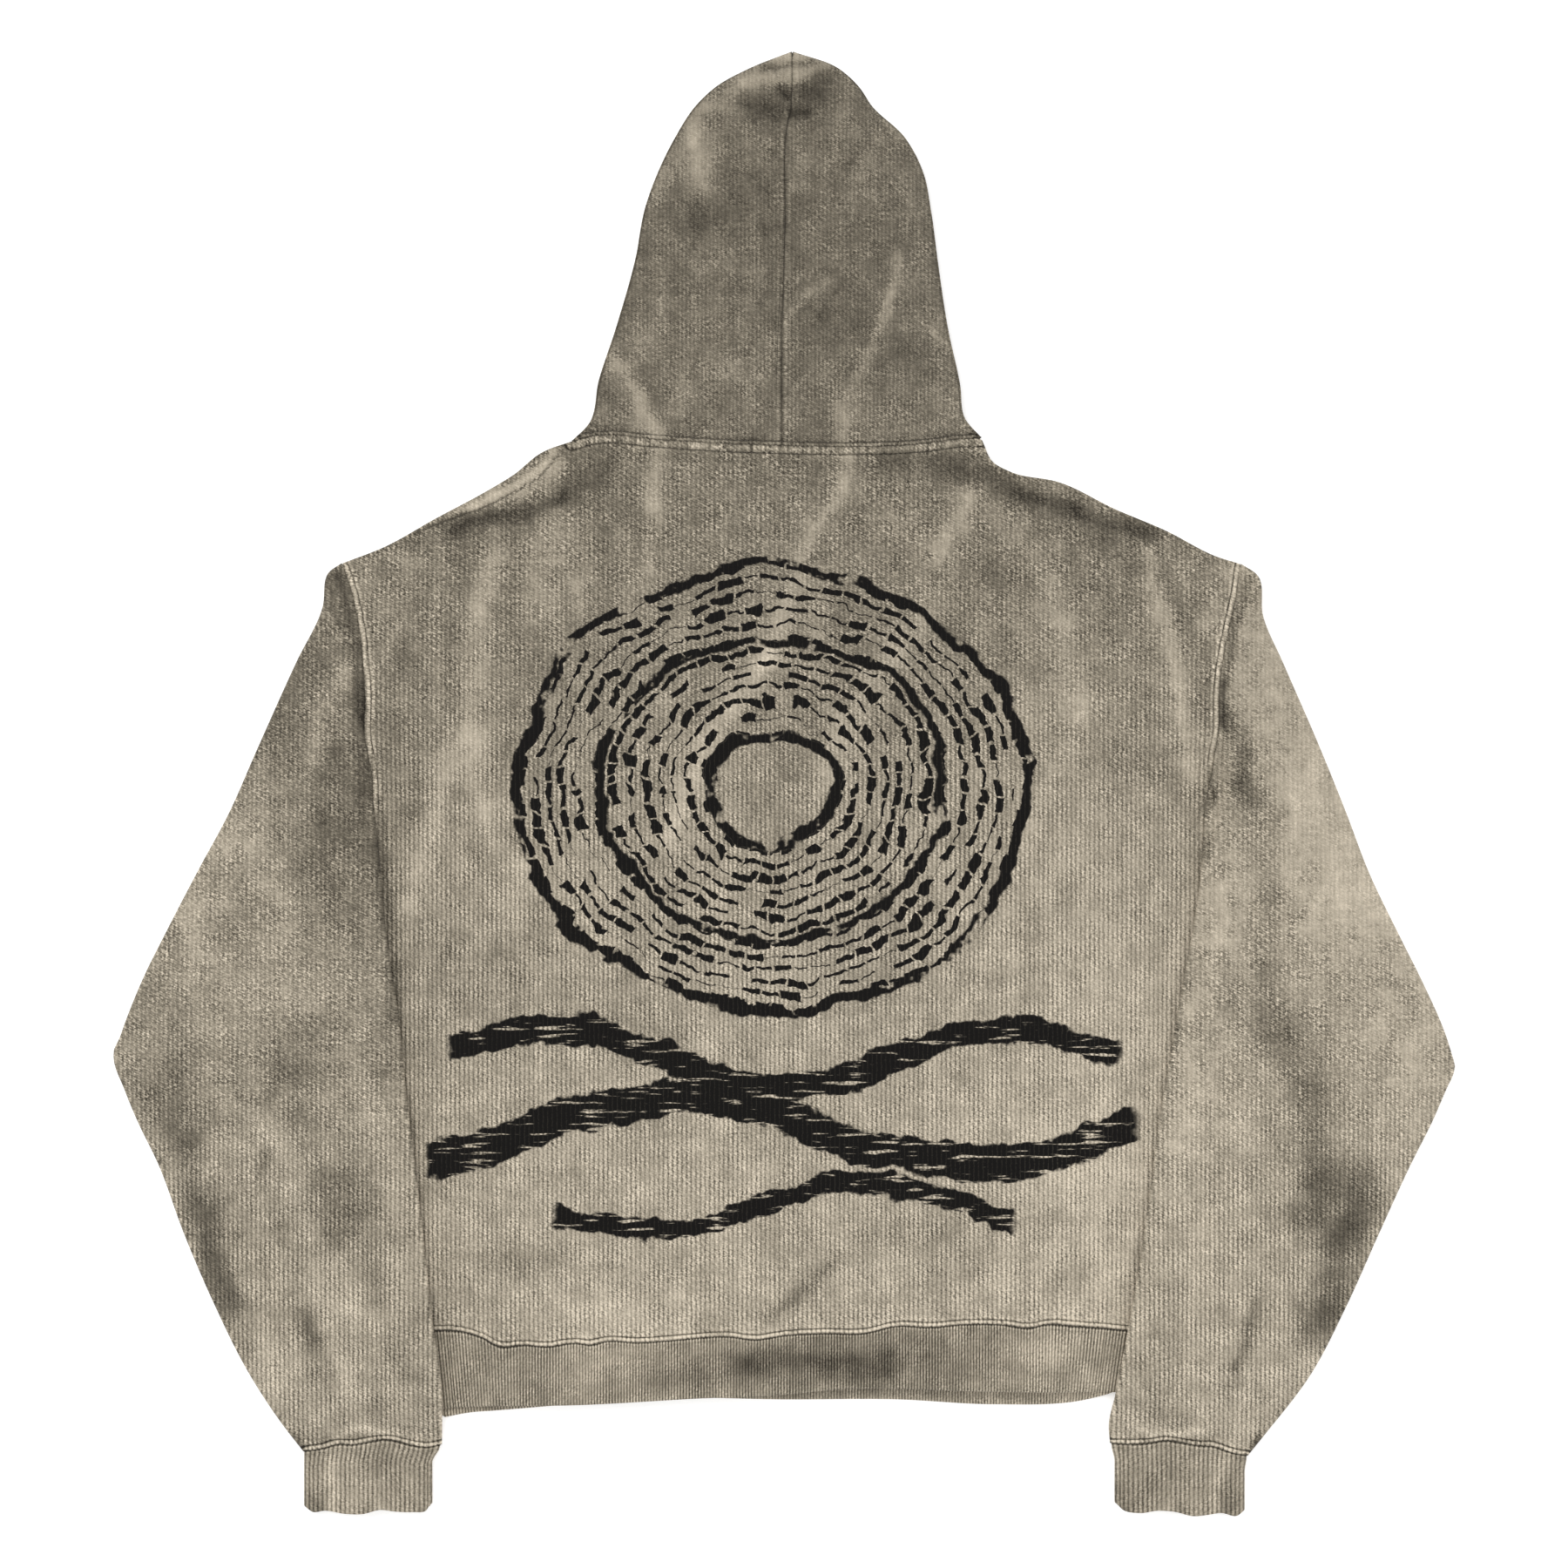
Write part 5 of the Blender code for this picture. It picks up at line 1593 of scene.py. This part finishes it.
def knit(name, seams, printed=False, rib=None, fine=False, columns=(0.18, -0.23)):
    """Washed knit: dye by the piece's tone, darker between its loops, partly by the wash and partly as
    painted shade, and with painted shade and light along its seams.
    """
    if name in bpy.data.materials:
        return bpy.data.materials[name]
    material, tree, shader = new_material(name, KNIT_FINISH)
    cloth = signal(tree, "ShaderNodeUVMap", "UV", uv_map="cloth")
    height = parts_of(cloth)[1]
    grain = centred(cloth, 700.0, 3.0, 0.8)
    tone = carried(tree, "tone") + centred(stretched(cloth, 1.0, 0.5), 60.0, 4.0, 0.76) * CLOUD
    tone = tone + centred(stretched(cloth, 0.3, 1.0), 110.0, 3.0, 0.6) * STREAK
    depth = FINE_DEPTH if fine else DEPTH
    contrast = fade(noise(cloth, 70.0), 0.35, 0.65) * (0.7 * depth) + 0.65 * depth
    squeeze = FINE_SQUEEZE if fine else 1.0
    if rib:
        share, wale, course = 1.0, rib, RIB_COURSE
    else:
        wale, course = sizes().wale * squeeze, sizes().course * squeeze
        share = (fade(tone, 0.40, 0.55) * 0.5 + 0.5) * fade(height, *columns)
        bleached = fade(height * 0.36 + tone, 0.58, 0.71)
        kept = (share * -0.7 + 1.0) * -0.62 * bleached + 1.0
        contrast = contrast * ((fade(tone, 0.28, 0.45) * 0.52 + 0.75) * kept)
    if printed:
        tone = tone + neck_pucker(cloth)
    for field, profile in seams.items():
        shade = seam_shade(cloth, field, profile)
        # The armhole seam's painted shade and light weaken to 0.15 of their strength below about 5 mm up the
        # back.
        if field == "to_armhole":
            shade = shade * (fade(height, 0.005, 0.035) * 0.85 + 0.15)
        tone = tone + shade
    loops = placed(LOOPS, [("Vector", cloth), ("Wale", wale), ("Course", course), ("Upright", share)])
    tone = (grain * GRAIN + loops["Shade"]) * contrast + tone
    # The tone carries the wash and the painted shade and light of folds, seams and loops, and the dye's ramp
    # colours all of it.
    dye = placed(DYE, [("Tone", tone)])["Color"]
    if printed:
        dye = inked(cloth, dye, fade(loops["Height"] * 0.35 + grain, -0.06, 0.08))
    dye.feed(shader["Base Color"])
    relief = noise(cloth, 900.0, 2.0, 0.7) * 0.35 + loops["Height"] * (0.3 if rib else 0.8)
    roughened(tree, relief, 0.55, 0.7 * MM, shader)
    return material


def to_tone(colour):
    """Where a colour lies between the darkest and the lightest dye."""
    shades = [sum(shade) / 3 for shade in (colours().darkest, colours().middle, colours().lightest)]
    return float(np.interp(sum(colour) / 3, shades, [0.0, 0.5, 1.0]))


def thread_material():
    material, tree, shader = new_material("sewing_thread", THREAD_FINISH)
    where = signal(tree, "ShaderNodeTexCoord", "Object")
    links = [("Vector", where), ("Scale", STRANDS), ("Distortion", 2.0)]
    strands = signal(tree, "ShaderNodeTexWave", "Fac", links)
    tone = strands * 0.06 + noise(where, 60.0) * 0.2 + (to_tone(colours().thread) - 0.10)
    placed(DYE, [("Tone", tone)])["Color"].feed(shader["Base Color"])
    roughened(tree, strands, 0.3, 0.1 * MM, shader)
    return material


# --- Stage ----------------------------------------------------------------------------------------

VIEW_WIDTH, SENSOR_MM = 1.1195, 36.0
CAMERA_HEIGHT, CAMERA_SHIFT, CAMERA_REACH = 3.4, -0.0013, (0.1, 40.0)
FLOOR_HALF, FLOOR_DROP, FLOOR_GLOW = 12.0, 0.4 * MM, 0.35
WORLD_LIGHT = 0.70
LIGHTS = (("key_softbox", (-1.5, 1.4, 2.6), 2.2, 52.0), ("fill_softbox", (1.9, -0.9, 2.4), 2.0, 20.0))
WHITE = (1.0, 1.0, 1.0, 1.0)
FLOOR_FINISH = {
    "Roughness": 0.9, "Specular IOR Level": 0.0, "Emission Color": WHITE, "Emission Strength": FLOOR_GLOW,
}


def build_floor():
    bpy.ops.object.select_all(action="DESELECT")
    bpy.ops.mesh.primitive_plane_add(size=2 * FLOOR_HALF, location=(0, 0, -FLOOR_DROP))
    floor = bpy.context.active_object
    floor.name = "floor"
    paint, _, shader = new_material("pale_floor", FLOOR_FINISH)
    shader["Base Color"].default_value = (*to_linear(colours().floor), 1.0)
    floor.data.materials.append(paint)


def build_lights(scene):
    scene.view_settings.view_transform = "Standard"
    world = bpy.data.worlds.new("studio")
    world.use_nodes = True
    sky = world.node_tree.nodes["Background"].inputs
    sky["Color"].default_value = WHITE
    sky["Strength"].default_value = WORLD_LIGHT
    scene.world = world
    for name, place, size, power in LIGHTS:
        bpy.ops.object.light_add(type="AREA", location=place)
        light = bpy.context.active_object
        light.name = name
        light.data.shape = "SQUARE"
        light.data.size = size
        light.data.energy = power
        light.rotation_euler = (-Vector(place)).to_track_quat("-Z", "Y").to_euler()


def build_camera(scene):
    bpy.ops.object.camera_add(location=(0.0, CAMERA_SHIFT, CAMERA_HEIGHT), rotation=(0.0, 0.0, 0.0))
    camera = bpy.context.active_object
    camera.name = "camera_above"
    camera.data.sensor_width = SENSOR_MM
    camera.data.lens = SENSOR_MM * CAMERA_HEIGHT / VIEW_WIDTH
    camera.data.clip_start, camera.data.clip_end = CAMERA_REACH
    scene.camera = camera


# --- Operators ------------------------------------------------------------------------------------


class SWEATSHIRT_OT_stage(bpy.types.Operator):
    """Set up the pale floor, the soft lights and the camera above."""

    bl_idname = "sweatshirt.stage"
    bl_label = "Stage"

    def execute(self, context):
        build_floor()
        build_lights(context.scene)
        build_camera(context.scene)
        return {"FINISHED"}


class SWEATSHIRT_OT_body(bpy.types.Operator):
    """Lay the back and the front of the body."""

    bl_idname = "sweatshirt.body"
    bl_label = "Body"

    def execute(self, context):
        build_front()
        build_back()
        return {"FINISHED"}


class SWEATSHIRT_OT_pocket(bpy.types.Operator):
    """Lay the pouch pocket under the front."""

    bl_idname = "sweatshirt.pocket"
    bl_label = "Pocket"

    def execute(self, context):
        build_pocket()
        return {"FINISHED"}


class SWEATSHIRT_OT_sleeves(bpy.types.Operator):
    """Lay both sleeves as flattened tubes."""

    bl_idname = "sweatshirt.sleeves"
    bl_label = "Sleeves"

    def execute(self, context):
        build_sleeve(-1)
        build_sleeve(1)
        return {"FINISHED"}


class SWEATSHIRT_OT_ribs(bpy.types.Operator):
    """Knit the hem band and the cuffs, rib by rib."""

    bl_idname = "sweatshirt.ribs"
    bl_label = "Hem and cuffs"

    def execute(self, context):
        build_hem()
        build_cuff(-1)
        build_cuff(1)
        return {"FINISHED"}


class SWEATSHIRT_OT_hood(bpy.types.Operator):
    """Lay both halves of the hood, with its face opening underneath."""

    bl_idname = "sweatshirt.hood"
    bl_label = "Hood"

    def execute(self, context):
        build_hood(-1)
        build_hood(1)
        return {"FINISHED"}


class SWEATSHIRT_OT_stitches(bpy.types.Operator):
    """Sew the stitches that show."""

    bl_idname = "sweatshirt.stitches"
    bl_label = "Stitches"

    def execute(self, context):
        build_stitches()
        return {"FINISHED"}


class SWEATSHIRT_PT_panel(bpy.types.Panel):
    """The sweatshirt's sizes, colours and steps."""

    bl_idname = "SWEATSHIRT_PT_panel"
    bl_label = "Sweatshirt"
    bl_space_type = "VIEW_3D"
    bl_region_type = "UI"
    bl_category = "Sweatshirt"

    def draw(self, context):
        layout = self.layout
        for group in (context.scene.sweatshirt_sizes, context.scene.sweatshirt_colours):
            column = layout.column(align=True)
            for field in group.__annotations__:
                column.prop(group, field)
        for step in STEPS:
            layout.operator(step.bl_idname)


STEPS = (
    SWEATSHIRT_OT_stage,
    SWEATSHIRT_OT_pocket,
    SWEATSHIRT_OT_body,
    SWEATSHIRT_OT_sleeves,
    SWEATSHIRT_OT_ribs,
    SWEATSHIRT_OT_hood,
    SWEATSHIRT_OT_stitches,
)
CLASSES = (SweatshirtSizes, SweatshirtColours, *STEPS, SWEATSHIRT_PT_panel)


def register():
    for made in CLASSES:
        bpy.utils.register_class(made)
    bpy.types.Scene.sweatshirt_sizes = PointerProperty(type=SweatshirtSizes)
    bpy.types.Scene.sweatshirt_colours = PointerProperty(type=SweatshirtColours)


def unregister():
    del bpy.types.Scene.sweatshirt_colours
    del bpy.types.Scene.sweatshirt_sizes
    for made in reversed(CLASSES):
        bpy.utils.unregister_class(made)


def main():
    register()
    bpy.ops.sweatshirt.stage()
    bpy.ops.sweatshirt.pocket()
    bpy.ops.sweatshirt.body()
    bpy.ops.sweatshirt.sleeves()
    bpy.ops.sweatshirt.ribs()
    bpy.ops.sweatshirt.hood()
    bpy.ops.sweatshirt.stitches()


if __name__ == "__main__":
    main()
